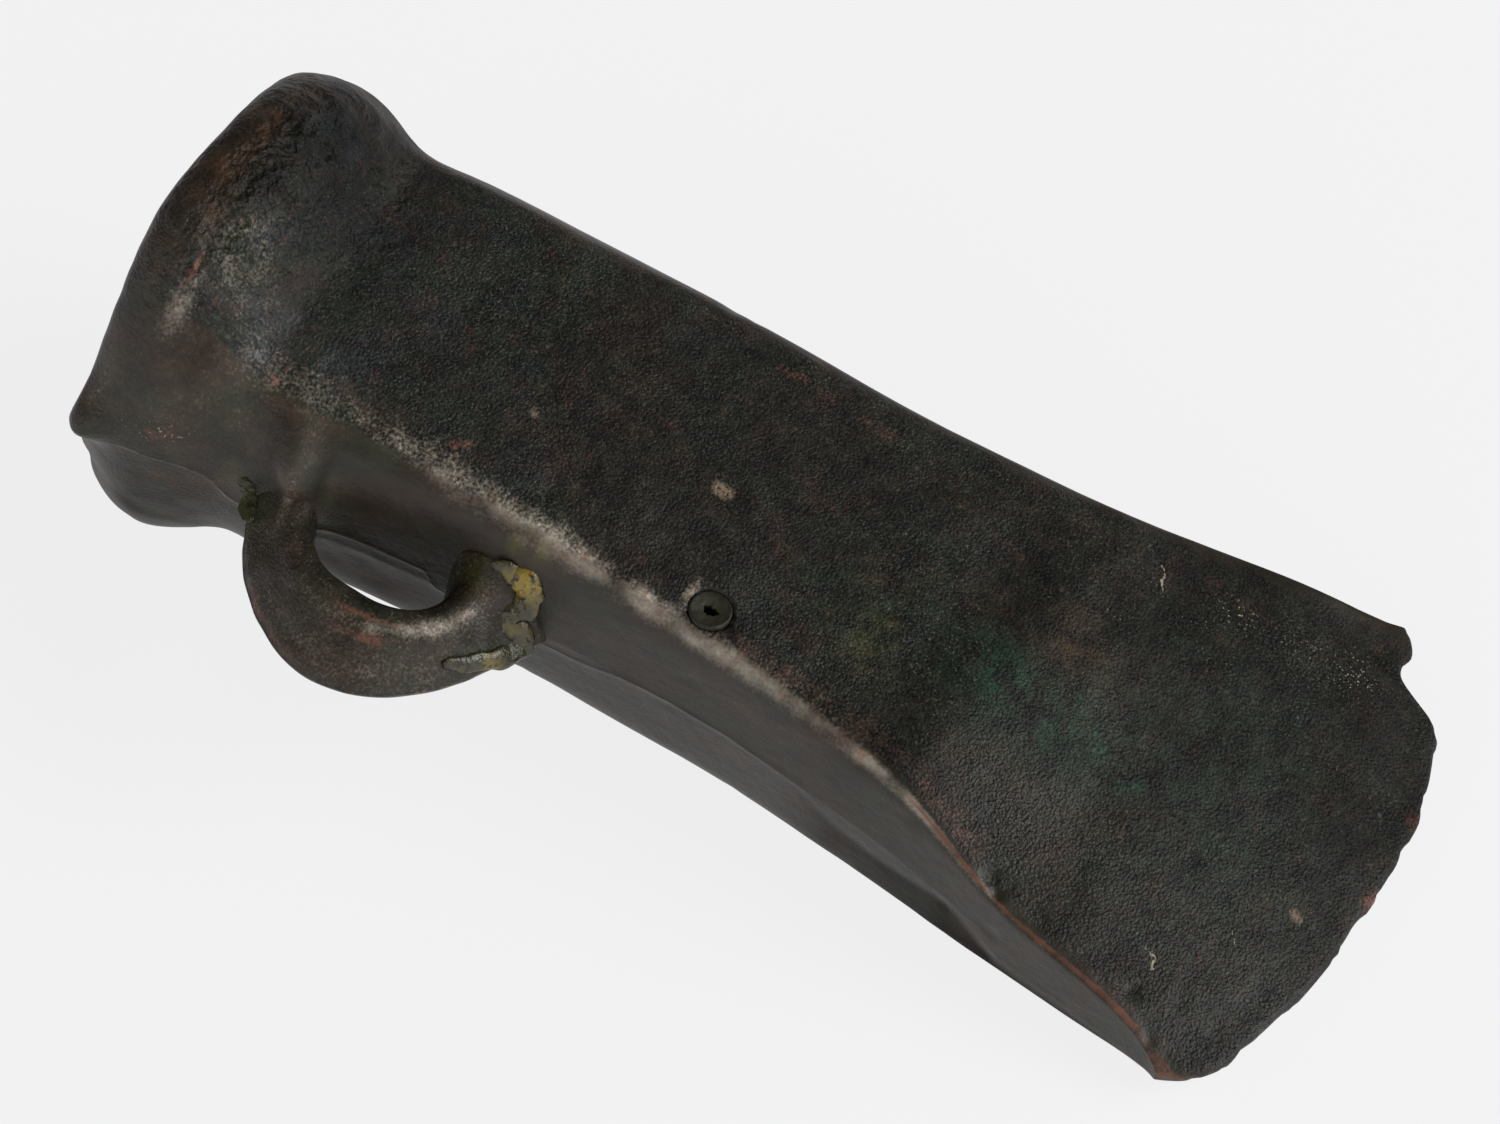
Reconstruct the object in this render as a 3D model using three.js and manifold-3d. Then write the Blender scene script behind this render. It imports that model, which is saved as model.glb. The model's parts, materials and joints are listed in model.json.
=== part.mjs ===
// A looped socketed axe head of cast bronze, found in the ground and mended.
// Millimetres. The axe is drawn along its own axis first: u runs from the mouth to the cutting edge,
// v across the broad faces (the loop is on the -v side) and w through the thickness. The whole axe is
// then laid down on its lower face, as it lies on a table, with +Z up.

import * as THREE from "three";
import { mergeVertices } from "three/addons/utils/BufferGeometryUtils.js";
import Module from "manifold-3d";

const wasm = await Module();
wasm.setup();

// Driving dimensions: the casting, where things are along the axis
const axeLength = 105;
const crestAt = 5;
const neckAt = 13;
const shoulderAt = 26;
const waistAt = 52;
const springAt = 68;
const cheekAt = 84;
const bevelAt = 98.5;
const socketDepth = 67;

// The casting, across its broad faces
const collarWidth = 37.8;
const neckWidth = 33.2;
const shoulderWidth = 32.5;
const waistWidth = 30.7;
const springWidth = 33.3;
const cheekWidth = 39.4;
const bevelWidth = 43.8;
const bladeWidth = 46.8;
const mouthOffset = -1.6;
const bladeOffset = 0.7;

// The casting, through its thickness
const collarDepth = 40.2;
const neckDepth = 25.2;
const shoulderDepth = 21.4;
const waistDepth = 18.3;
const springDepth = 17;
const cheekDepth = 10.8;
const bevelDepth = 4.6;
const edgeThickness = 0.9;
const mouthDrop = -1.4;
const mouthOffsetEnd = 42;

// The lip, the socket and its wall
const lipRoll = 2;
const mouthWidth = 28;
const mouthDepth = 29.6;
const socketWall = 3;
const floorWidth = 15;
const floorDepth = 4.4;

// The cutting edge: how far its two corners lie behind its foremost point, and its worn bite
const edgeApexAcross = 0;
const nearCornerSag = 5.9;
const farCornerSag = 9.1;
const biteAcross = 20.1;
const biteWidth = 1.9;
const biteDepth = 2.7;

// The lip on the loop's side: flash left by the mould joint, and a chip under it
const flashHeight = 2.6;
const flashAt = 1;
const flashLength = 2.6;
const flashWidth = 2.2;
const flashUp = 2.4;
const chipDepth = 1.6;
const chipWidth = 3;
const chipDown = 4;

// The side loop. Its bar is thickest at the far side of the eye, thins towards both feet, and flares
// where it meets the body: more on its outer side than on its inner, and up and down the body.
const loopAt = 27.1;
const loopReach = 9.95;
const loopHalfSpan = 9.2;
const loopThickness = 7.4;
const neckFootThickness = 5.2;
const bladeFootThickness = 5.6;
const loopWidth = 8.2;
const loopDrop = 0.45;
const outerFlare = 0.9;
const innerFlare = 0.25;
const neckFootSpread = 2;
const bladeFootSpread = 1.5;
const flareFade = 1.7;
const flareSunk = 0.6;
const footSwell = 0.7;
const footSwellLength = 3;
const footSwellWidth = 5.5;
const loopFootTurn = Math.PI / 7;
const thinnedByShare = 0.9;

// The bar's section, half of it: shares of the half thickness outwards and the half width up, from
// its outer edge over the sloping outer face and the crest to the eye
const loopProfileShares = [
  [1, 0],
  [0.92, 0.19],
  [0.64, 0.42],
  [0.32, 0.67],
  [0, 0.89],
  [-0.33, 0.99],
  [-0.68, 0.9],
  [-0.92, 0.55],
  [-1, 0],
];

// The resin that holds the mended loop. Each place on the joint is a share of the loop's half span
// along the axe, of its reach out from the body and of its width up, then the bead's share of its
// full size.
const footBead = 1.15;
const footResinShares = [
  [0.848, 0.04, 0.7, 0.6],
  [0.946, 0.02, 0.72, 0.75],
  [1.054, 0, 0.659, 0.9],
  [1.185, 0, 0.65, 1],
  [1.239, 0.01, 0.488, 1],
  [1.207, 0.08, 0.32, 1],
  [1.152, 0.17, 0.25, 1],
  [1.21, 0.19, 0.15, 1.2],
  [1.29, 0.18, 0.03, 1.2],
  [1.26, 0.32, 0.01, 0.95],
  [1.18, 0.46, 0.05, 0.9],
  [1.06, 0.6, 0.09, 0.85],
  [0.9, 0.75, 0.16, 0.8],
];
const neckBead = 0.85;
const neckResinShares = [
  [-1.41, 0.25, 0.21, 0.8],
  [-1.31, 0.3, 0.12, 1],
  [-1.24, 0.38, 0.09, 1],
  [-1.18, 0.48, 0.06, 0.8],
];

// The sampling hole and its filling
const holeDiameter = 3.4;
const holeDepth = 2.4;
const holeAt = 51.4;
const holeAcross = -11.6;
const fillerProud = 0.25;
const fillerDish = 0.35;
const fillerRound = 0.3;
const pinholeDiameter = 0.9;
const pinholeDepth = 1.3;

// The clearance that separate pieces keep, and the overrun of every cut
const clearance = 0.3;
const overrun = 4;

// Facets
const sideSteps = 4;
const faceSteps = 7;
const collarSteps = 9;
const socketZoneSteps = 12;
const bladeSteps = 12;
const hollowSteps = 12;
const loopSteps = 26;
const holeSteps = 16;
const beadSteps = 6;

// The powers of the rounded-corner formula: 2 is an ellipse, and the higher the sharper
const roundPower = 2;
const neckPower = 2.8;
const shoulderPower = 5.5;
const waistPower = 11;
const springPower = 14;
const bladePower = 24;
const hollowPower = 5;

// Each station of the casting: its size, the power of its corners, how far the narrow sides come to
// a ridge (keel) and how far the broad faces swell (crown), as shares of the half sizes.
const castingStations = [
  { at: crestAt, width: collarWidth, depth: collarDepth, power: roundPower,
    keelShare: 0, crownShare: 0 },
  { at: neckAt, width: neckWidth, depth: neckDepth, power: neckPower,
    keelShare: 0.03, crownShare: 0 },
  { at: shoulderAt, width: shoulderWidth, depth: shoulderDepth, power: shoulderPower,
    keelShare: 0.09, crownShare: 0.03 },
  { at: waistAt, width: waistWidth, depth: waistDepth, power: waistPower,
    keelShare: 0.04, crownShare: 0.06 },
  { at: springAt, width: springWidth, depth: springDepth, power: springPower,
    keelShare: 0.035, crownShare: 0.12 },
  { at: cheekAt, width: cheekWidth, depth: cheekDepth, power: bladePower,
    keelShare: 0, crownShare: 0.27 },
  { at: bevelAt, width: bevelWidth, depth: bevelDepth, power: bladePower,
    keelShare: 0, crownShare: 0.03 },
  { at: axeLength, width: bladeWidth, depth: edgeThickness, power: bladePower,
    keelShare: 0, crownShare: 0 },
];

const twoWalls = 2 * socketWall;
const socketStations = [
  { at: 0, width: mouthWidth, depth: mouthDepth, power: roundPower },
  { at: neckAt, width: neckWidth - twoWalls, depth: neckDepth - twoWalls, power: neckPower },
  { at: waistAt, width: waistWidth - twoWalls, depth: waistDepth - twoWalls, power: hollowPower },
  { at: socketDepth, width: floorWidth, depth: floorDepth, power: hollowPower },
];

function smooth(share) {
  const x = Math.min(Math.max(share, 0), 1);
  return x * x * (3 - 2 * x);
}

function bell(distance, width) {
  return Math.exp(-(distance * distance) / (width * width));
}

// A value of the stations carried along the axis by a cubic that never swings past them: at each
// station its slope is the harmonic mean of the slopes on both sides, or nothing at a turning point.
function along(stations, key, u) {
  const last = stations.length - 1;
  const place = Math.min(Math.max(u, stations[0].at), stations[last].at);
  let i = 0;
  while (i < last - 1 && place > stations[i + 1].at) i += 1;
  const rise = (k) => stations[k + 1][key] - stations[k][key];
  const chord = (k) => rise(k) / (stations[k + 1].at - stations[k].at);
  const slope = (k) => {
    if (k === 0) return 0;
    if (k === last) return chord(last - 1);
    const before = chord(k - 1);
    const after = chord(k);
    return before * after > 0 ? (2 * before * after) / (before + after) : 0;
  };
  const span = stations[i + 1].at - stations[i].at;
  const x = (place - stations[i].at) / span;
  const start = stations[i][key];
  const end = stations[i + 1][key];
  const swing = span * x * (1 - x) * (slope(i) * (1 - x) - slope(i + 1) * x);
  return start + (end - start) * smooth(x) + swing;
}

// One quadrant of a section, walked along its sharp outline of side facet and broad face, closer
// together towards the corner between them. The points are shares of the half width and half depth.
function quadrantWalk(keelShare) {
  const walk = [];
  for (let i = 0; i < sideSteps; i += 1) {
    const x = Math.sin((Math.PI / 2) * (i / sideSteps));
    walk.push([1 - keelShare * x, x]);
  }
  for (let i = 0; i < faceSteps; i += 1) {
    const x = 1 - Math.cos((Math.PI / 2) * (i / faceSteps));
    walk.push([(1 - keelShare) * (1 - x), 1]);
  }
  return walk;
}

// A closed section. Each point of the sharp outline is drawn in towards the axis until the power
// mean of its two face distances is one, which rounds the corners, and then the broad face is
// lowered towards its sides by the square of the distance from the middle.
function sectionRing(halfWidth, halfDepth, power, keelShare, crownShare) {
  const walk = quadrantWalk(keelShare);
  const quadrant = walk.map(([across, up]) => {
    const side = across + keelShare * up;
    const draw = Math.pow(Math.pow(up, power) + Math.pow(side, power), 1 / power);
    const v = across / draw;
    return [halfWidth * v, (halfDepth * up / draw) * (1 - crownShare * v * v)];
  });
  const mirrored = [...quadrant].reverse().map(([v, w]) => [-v, w]);
  const upper = [...quadrant, [0, halfDepth], ...mirrored];
  const lower = upper.slice(1, -1).reverse().map(([v, w]) => [v, -w]);
  return [...upper, ...lower];
}

// How far the casting's middle lies off the axis, across and through
function offAxis(u) {
  const mouth = 1 - smooth((u - crestAt) / (mouthOffsetEnd - crestAt));
  const blade = smooth((u - springAt) / (axeLength - springAt));
  return [mouthOffset * mouth + bladeOffset * blade, mouthDrop * mouth];
}

// How far a point of the cutting edge lies behind its foremost point
const nearEdgePower = 2.6;
const farEdgePower = 3.3;
function edgeSag(v) {
  const far = v > edgeApexAcross;
  const corner = far ? bladeOffset + bladeWidth / 2 : bladeOffset - bladeWidth / 2;
  const share = (v - edgeApexAcross) / (corner - edgeApexAcross);
  const sag = far
    ? farCornerSag * Math.pow(share, farEdgePower)
    : nearCornerSag * Math.pow(share, nearEdgePower);
  return sag + biteDepth * bell(v - biteAcross, biteWidth);
}

// The lip rolls over from the collar's crest as a quarter of an ellipse
function lipLoss(u) {
  const x = Math.min(u / crestAt, 1);
  return lipRoll * (1 - Math.sqrt(1 - (1 - x) * (1 - x)));
}

// The lip's ragged spot on the loop's side: the flash stands out, and under it a chip is gone
function raggedLip(u, w) {
  const flash = flashHeight * bell(w - flashUp, flashWidth);
  const chip = chipDepth * bell(w + chipDown, chipWidth);
  return (flash - chip) * bell(u - flashAt, flashLength);
}

// The narrow side swells a little round each foot of the loop
function footSwelling(u, w) {
  const up = bell(w + loopDrop, footSwellWidth);
  const feet = [loopAt - loopHalfSpan, loopAt + loopHalfSpan];
  return feet.reduce((sum, foot) => sum + footSwell * up * bell(u - foot, footSwellLength), 0);
}

function castingRing(u, growth) {
  const halfWidth = along(castingStations, "width", u) / 2 - lipLoss(u) + growth;
  const halfDepth = along(castingStations, "depth", u) / 2 - lipLoss(u) + growth;
  const power = along(castingStations, "power", u);
  const keelShare = along(castingStations, "keelShare", u);
  const crownShare = along(castingStations, "crownShare", u);
  const [aside, down] = offAxis(u);
  const sweep = smooth((u - springAt) / (axeLength - springAt));
  return sectionRing(halfWidth, halfDepth, power, keelShare, crownShare).map(([v, w]) => {
    const outwards = v < 0 ? (raggedLip(u, w) + footSwelling(u, w)) * smooth(-2 * v / halfWidth) : 0;
    return new THREE.Vector3(u - sweep * edgeSag(v + aside), v + aside - outwards, w + down);
  });
}

function socketRing(u) {
  const halfWidth = along(socketStations, "width", u) / 2;
  const halfDepth = along(socketStations, "depth", u) / 2;
  const [aside, down] = offAxis(u);
  return sectionRing(halfWidth, halfDepth, along(socketStations, "power", u), 0, 0).map(
    ([v, w]) => new THREE.Vector3(u, v + aside, w + down),
  );
}

// Places from one station to the next, the first included
function placesBetween(from, to, steps) {
  return Array.from({ length: steps }, (_, i) => from + ((to - from) * i) / steps);
}

// The collar's places crowd towards the lip, where it rolls over
function collarPlaces() {
  const lip = Array.from({ length: collarSteps }, (_, i) => {
    return crestAt * (1 - Math.cos((Math.PI / 2) * (i / collarSteps)));
  });
  return [...lip, ...placesBetween(crestAt, neckAt, collarSteps)];
}

// A surface through rings of equal count. Each end is closed across the ring, from each point of
// its upper half to the one under it.
function surfaceThrough(rings) {
  const count = rings[0].length;
  const places = rings.flat().flatMap((p) => [p.x, p.y, p.z]);
  const faces = [];
  rings.slice(1).forEach((_, r) => {
    for (let j = 0; j < count; j += 1) {
      const next = (j + 1) % count;
      const a = r * count + j;
      const b = r * count + next;
      faces.push(a, b, a + count, b, b + count, a + count);
    }
  });
  const half = count / 2;
  const close = (base, flip) => {
    for (let j = 0; j < half; j += 1) {
      const corners = [j, j + 1, count - j - 1, (count - j) % count].map((k) => base + k);
      const [a, b, c, d] = flip ? [...corners].reverse() : corners;
      if (new Set([a, b, c]).size === 3) faces.push(a, b, c);
      if (new Set([a, c, d]).size === 3) faces.push(a, c, d);
    }
  };
  close(0, true);
  close((rings.length - 1) * count, false);
  const geometry = new THREE.BufferGeometry();
  geometry.setAttribute("position", new THREE.Float32BufferAttribute(places, 3));
  geometry.setIndex(faces);
  return geometry;
}

function toSolid(geometry) {
  const bare = geometry.clone();
  bare.deleteAttribute("normal");
  bare.deleteAttribute("uv");
  const merged = mergeVertices(bare);
  return new wasm.Manifold(new wasm.Mesh({
    numProp: 3,
    vertProperties: new Float32Array(merged.attributes.position.array),
    triVerts: new Uint32Array(merged.index.array),
  }));
}

function toGeometry(solid) {
  const { vertProperties, triVerts } = solid.getMesh();
  const geometry = new THREE.BufferGeometry();
  geometry.setAttribute("position", new THREE.BufferAttribute(new Float32Array(vertProperties), 3));
  geometry.setIndex(new THREE.BufferAttribute(new Uint32Array(triVerts), 1));
  return geometry;
}

// The places of the outer skin's rings, from the lip to the cutting edge
function outerPlaces() {
  return [
    ...collarPlaces(),
    ...placesBetween(neckAt, springAt, socketZoneSteps),
    ...placesBetween(springAt, axeLength, bladeSteps),
    axeLength,
  ];
}

function castingEnvelope(growth) {
  return toSolid(surfaceThrough(outerPlaces().map((u) => castingRing(u, growth))));
}

function topOfFace(u, v) {
  const ring = castingRing(u, 0).filter((p) => p.z > 0);
  const above = [...ring].sort((a, b) => Math.abs(a.y - v) - Math.abs(b.y - v));
  const [p, q] = above;
  const share = q.y === p.y ? 0 : (v - p.y) / (q.y - p.y);
  return p.z + (q.z - p.z) * share;
}

const holeTop = topOfFace(holeAt, holeAcross);

function samplingHole() {
  const tall = holeDepth + overrun;
  const shaft = new THREE.CylinderGeometry(holeDiameter / 2, holeDiameter / 2, tall, holeSteps);
  shaft.rotateX(Math.PI / 2);
  shaft.translate(holeAt, holeAcross, holeTop - holeDepth + tall / 2);
  return toSolid(shaft);
}

// The casting runs from the socket's floor up to the lip, over it and along the skin to the edge
function axeBody() {
  const hollow = [...placesBetween(0, socketDepth, hollowSteps), socketDepth].map(socketRing);
  const outer = outerPlaces().map((u) => castingRing(u, 0));
  const casting = toSolid(surfaceThrough([...hollow.reverse(), ...outer]));
  return toGeometry(casting.subtract(samplingHole()));
}

// The flare that the loop's bar has at a distance out from the middle plane of the axe
function flareAt(out) {
  return Math.exp(-Math.max(out - shoulderWidth / 2, -flareSunk) / flareFade);
}

// A ring of the loop's bar. The angle runs along the bar from the foot towards the blade.
function loopRing(angle, growth) {
  const across = Math.cos(angle);
  const out = waistWidth / 2 + Math.sin(angle) * loopReach;
  const middle = new THREE.Vector3(loopAt + across * loopHalfSpan, -out, -loopDrop);
  const outward = new THREE.Vector3(across * loopReach, -Math.sin(angle) * loopHalfSpan, 0).normalize();
  const flare = flareAt(out);
  const footThickness = across < 0 ? neckFootThickness : bladeFootThickness;
  const spread = across < 0 ? neckFootSpread : bladeFootSpread;
  const thinned = smooth(Math.abs(across) / thinnedByShare);
  const halfThick = (loopThickness + (footThickness - loopThickness) * thinned) / 2 + growth;
  const halfWide = loopWidth / 2 + spread * flare + growth;
  const under = loopProfileShares.slice(1, -1).reverse().map(([x, y]) => [x, -y]);
  return [...loopProfileShares, ...under].map(([x, y]) => {
    const flared = halfThick + (x > 0 ? outerFlare : innerFlare) * flare;
    const point = middle.clone().addScaledVector(outward, flared * x);
    point.z += halfWide * y;
    return point;
  });
}

function loopBar(growth) {
  const rings = [];
  for (let i = 0; i <= loopSteps; i += 1) {
    const angle = -loopFootTurn + ((Math.PI + 2 * loopFootTurn) * i) / loopSteps;
    rings.push(loopRing(angle, growth));
  }
  return toSolid(surfaceThrough(rings));
}

function sideLoop() {
  return toGeometry(loopBar(0).subtract(castingEnvelope(clearance)));
}

// Resin that ran along the joint as a row of beads, shaped by the loop and the body that it lies on
function resinAlong(shares, fullBead) {
  const between = shares.slice(1).map((place, i) => place.map((end, n) => (shares[i][n] + end) / 2));
  const beads = [...shares, ...between].map(([along, out, up, size]) => {
    const bead = new THREE.SphereGeometry(fullBead * size, beadSteps, beadSteps);
    const v = -waistWidth / 2 - out * loopReach;
    bead.translate(loopAt + along * loopHalfSpan, v, up * loopWidth);
    return toSolid(bead);
  });
  const run = beads.reduce((whole, bead) => whole.add(bead));
  return toGeometry(run.subtract(loopBar(clearance)).subtract(castingEnvelope(clearance)));
}

// The filling of the sampling hole: a plug with a dished top and a pinhole in its middle
function sampleHoleFiller() {
  const radius = holeDiameter / 2 - clearance;
  const bottom = holeTop - holeDepth + clearance;
  const top = holeTop + fillerProud;
  const pin = pinholeDiameter / 2;
  const profile = [
    [0, bottom],
    [radius, bottom],
    [radius, top - fillerDish],
    [radius - fillerRound, top],
    [pin, top - fillerDish],
    [pin, top - pinholeDepth],
    [0, top - pinholeDepth],
  ];
  const plug = new THREE.LatheGeometry(profile.map(([x, y]) => new THREE.Vector2(x, y)), holeSteps);
  plug.rotateX(Math.PI / 2);
  plug.translate(holeAt, holeAcross, 0);
  return toGeometry(toSolid(plug));
}

const bronze = new THREE.MeshStandardMaterial({ color: 0x2b2924, roughness: 0.55, metalness: 0.75 });
const resin = new THREE.MeshStandardMaterial({ color: 0x8a7d1e, roughness: 0.15, metalness: 0 });
const filling = new THREE.MeshStandardMaterial({ color: 0x4b4c40, roughness: 0.6, metalness: 0 });

function piece(name, geometry, material) {
  const mesh = new THREE.Mesh(geometry, material);
  mesh.name = name;
  return mesh;
}

const axe = new THREE.Group();
axe.add(piece("axe_body", axeBody(), bronze));
axe.add(piece("side_loop", sideLoop(), bronze));
axe.add(piece("loop_foot_resin", resinAlong(footResinShares, footBead), resin));
axe.add(piece("loop_neck_resin", resinAlong(neckResinShares, neckBead), resin));
axe.add(piece("sample_hole_filler", sampleHoleFiller(), filling));

// The resting tilt: the line from the cutting edge's lower side that just clears the collar's underside
const restingTilt = Math.max(...collarPlaces().map((u) => {
  const lowest = Math.min(...castingRing(u, 0).map((p) => p.z));
  return Math.atan2(-lowest - edgeThickness / 2, axeLength - u);
}));
axe.rotation.y = restingTilt;

const table = new THREE.Group();
table.add(axe);
table.updateMatrixWorld(true);
const extent = new THREE.Box3().setFromObject(table, true);
const middle = extent.getCenter(new THREE.Vector3());
table.position.set(-middle.x, -middle.y, -extent.min.z);

export default table;
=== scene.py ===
import json
import math

import bpy
import numpy as np
from mathutils import Matrix, Vector


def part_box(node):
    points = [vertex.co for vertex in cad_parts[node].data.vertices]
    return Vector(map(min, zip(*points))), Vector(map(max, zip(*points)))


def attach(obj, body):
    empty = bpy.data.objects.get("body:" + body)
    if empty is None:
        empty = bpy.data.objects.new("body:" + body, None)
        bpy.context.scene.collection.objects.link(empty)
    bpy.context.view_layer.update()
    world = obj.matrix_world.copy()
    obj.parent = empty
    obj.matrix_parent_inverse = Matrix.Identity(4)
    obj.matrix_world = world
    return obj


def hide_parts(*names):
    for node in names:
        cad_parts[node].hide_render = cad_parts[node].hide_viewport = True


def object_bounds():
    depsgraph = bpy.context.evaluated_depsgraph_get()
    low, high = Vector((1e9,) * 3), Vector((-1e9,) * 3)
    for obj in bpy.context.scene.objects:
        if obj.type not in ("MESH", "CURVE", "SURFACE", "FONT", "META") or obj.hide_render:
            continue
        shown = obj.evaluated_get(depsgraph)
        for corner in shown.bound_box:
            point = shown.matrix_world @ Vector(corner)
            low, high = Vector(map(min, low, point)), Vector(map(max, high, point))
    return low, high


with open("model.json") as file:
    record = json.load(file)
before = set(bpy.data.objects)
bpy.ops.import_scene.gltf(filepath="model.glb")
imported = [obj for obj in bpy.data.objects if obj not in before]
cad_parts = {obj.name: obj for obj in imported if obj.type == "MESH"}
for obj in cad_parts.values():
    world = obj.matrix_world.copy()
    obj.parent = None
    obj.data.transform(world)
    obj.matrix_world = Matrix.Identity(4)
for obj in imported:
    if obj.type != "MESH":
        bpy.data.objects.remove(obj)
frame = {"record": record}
cad_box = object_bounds()

# The camera looks down on the axe from its loop's side and from its mouth's right, through a long
# lens, as the photograph does.
MM = 0.001
SENSOR_WIDTH = 36.0
LENS = 185.72
CAMERA_AZIMUTH = math.radians(32.154)
CAMERA_ELEVATION = math.radians(50.775)
CAMERA_ROLL = math.radians(-3.284)
CAMERA_DISTANCE = 590.63 * MM
CAMERA_TARGET = Vector((2.766, -3.189, 20.0)) * MM

away = Vector((
    math.sin(CAMERA_AZIMUTH) * math.cos(CAMERA_ELEVATION),
    -math.cos(CAMERA_AZIMUTH) * math.cos(CAMERA_ELEVATION),
    math.sin(CAMERA_ELEVATION),
))
unrolled = Vector((math.cos(CAMERA_AZIMUTH), math.sin(CAMERA_AZIMUTH), 0))
right = Matrix.Rotation(CAMERA_ROLL, 3, away) @ unrolled
up = away.cross(right)
camera_data = bpy.data.cameras.new("camera")
camera_data.sensor_fit = "HORIZONTAL"
camera_data.sensor_width = SENSOR_WIDTH
camera_data.lens = LENS
camera = bpy.data.objects.new("camera", camera_data)
turned = Matrix((right, up, away)).transposed().to_4x4()
camera.matrix_world = Matrix.Translation(CAMERA_TARGET + away * CAMERA_DISTANCE) @ turned
bpy.context.scene.collection.objects.link(camera)
bpy.context.scene.camera = camera

# The casting is one piece of tin bronze, cast in a two-part mould round a clay core that left the
# socket. It has a thick rolled collar, a body squarer towards its blade, and a hammered edge.
# Lengths are in millimetres along the axe's own axis: u from the mouth, v across, w through.
AXE_LENGTH = 105.0
CREST_AT = 5.0
NECK_AT = 13.0
SHOULDER_AT = 26.0
WAIST_AT = 52.0
SPRING_AT = 68.0
CHEEK_AT = 84.0
BEVEL_AT = 98.5
NECK_WIDTH, NECK_DEPTH = 33.2, 25.2
WAIST_WIDTH, WAIST_DEPTH = 30.7, 18.3
BLADE_WIDTH, BLADE_DEPTH = 46.8, 0.9
SOCKET_DEPTH = 67.0
SOCKET_WALL = 3.0
MOUTH_OFFSET = -1.6
MOUTH_OFFSET_END = 42.0
MOUTH_DROP = -1.4
BLADE_OFFSET = 0.7
LIP_ROLL = 2.0
EDGE_ROUND = 0.42

STATIONS_AT = np.array([
    CREST_AT, NECK_AT, SHOULDER_AT, WAIST_AT, SPRING_AT, CHEEK_AT, BEVEL_AT, AXE_LENGTH,
])
CASTING = {
    "width": np.array([37.8, NECK_WIDTH, 32.5, WAIST_WIDTH, 33.3, 39.4, 43.8, BLADE_WIDTH]),
    "depth": np.array([40.2, NECK_DEPTH, 21.4, WAIST_DEPTH, 17.0, 10.8, 4.6, BLADE_DEPTH]),
    "power": np.array([2, 2.8, 5.5, 11, 14, 24, 24, 24]),
    "keel_share": np.array([0, 0.03, 0.09, 0.04, 0.035, 0, 0, 0]),
    "crown_share": np.array([0, 0, 0.03, 0.06, 0.12, 0.27, 0.03, 0]),
}
SOCKET_AT = np.array([0, NECK_AT, WAIST_AT, SOCKET_DEPTH])
SOCKET = {
    "width": np.array([28.0, NECK_WIDTH - 2 * SOCKET_WALL, WAIST_WIDTH - 2 * SOCKET_WALL, 15.0]),
    "depth": np.array([29.6, NECK_DEPTH - 2 * SOCKET_WALL, WAIST_DEPTH - 2 * SOCKET_WALL, 4.4]),
    "power": np.array([2, 2.8, 5, 5]),
}


def smooth(share):
    """The smoothstep 3x^2 - 2x^3, with x held between 0 and 1."""
    x = np.clip(share, 0, 1)
    return x * x * (3 - 2 * x)


def onset(place, start, length):
    """Zero up to the start and one from that length past it, by a smoothstep."""
    return smooth((place - start) / length)


def bell(distance, width):
    """A bell, exp(-(distance / width)^2)."""
    return np.exp(-(distance / width) ** 2)


def along(at, values, u):
    """Values carried along the axis by cubics that never swing past them: a station's slope is the
    harmonic mean of the chords on both sides, or zero at a turning point."""
    chord = np.diff(values) / np.diff(at)
    before, after = chord[:-1], chord[1:]
    same = before * after > 0
    total = np.where(same, before + after, 1)
    slope = np.concatenate([[0], np.where(same, 2 * before * after / total, 0), chord[-1:]])
    place = np.clip(u, at[0], at[-1])
    i = np.clip(np.searchsorted(at, place) - 1, 0, len(at) - 2)
    span = at[i + 1] - at[i]
    x = (place - at[i]) / span
    swing = span * x * (1 - x) * (slope[i] * (1 - x) - slope[i + 1] * x)
    return values[i] + (values[i + 1] - values[i]) * smooth(x) + swing


SIDE_COLUMNS = 30
FACE_COLUMNS = 45
SIDE_CROWDING = 0.45
FACE_CROWDING = 0.45


def ring_walk():
    """The columns round a section, from the far seam over the top to the near seam and back under:
    how far up its side facet a column is, how far in along its broad face, and its two signs.
    Columns crowd towards the seams and the arrises."""
    s = np.arange(SIDE_COLUMNS) / SIDE_COLUMNS
    climb = s - SIDE_CROWDING * np.sin(2 * np.pi * s) / (2 * np.pi)
    f = np.arange(FACE_COLUMNS + 1) / FACE_COLUMNS
    inward = FACE_CROWDING * (1 - np.cos(np.pi / 2 * f)) + (1 - FACE_CROWDING) * f
    climb = np.concatenate([climb, np.ones(FACE_COLUMNS + 1)])
    inward = np.concatenate([np.zeros(SIDE_COLUMNS), inward])
    last = len(climb) - 1
    upper = np.concatenate([np.arange(last + 1), np.arange(last - 1, -1, -1)])
    upper_sign = np.concatenate([np.ones(last + 1), -np.ones(last)])
    order = np.concatenate([upper, upper[-2:0:-1]])
    across_sign = np.concatenate([upper_sign, upper_sign[-2:0:-1]])
    up_sign = np.where(np.arange(len(order)) <= 2 * last, 1.0, -1.0)
    return climb[order], inward[order], across_sign, up_sign


CLIMB, INWARD, ACROSS_SIGN, UP_SIGN = ring_walk()


def section(half_width, half_depth, power, keel, crown):
    """Rings through columns of half sizes. A point of the sharp outline is drawn in until the power
    mean of its two face distances is one, and the face is lowered by the square of its distance
    from the middle. The keel share makes the narrow side a low ridge."""
    across = (1 - keel * CLIMB) * (1 - INWARD)
    side = across + keel * CLIMB
    draw = (CLIMB ** power + side ** power) ** (1 / power)
    v = across / draw
    w = CLIMB / draw * (1 - crown * v * v)
    return half_width * v * ACROSS_SIGN, half_depth * w * UP_SIGN


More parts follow.
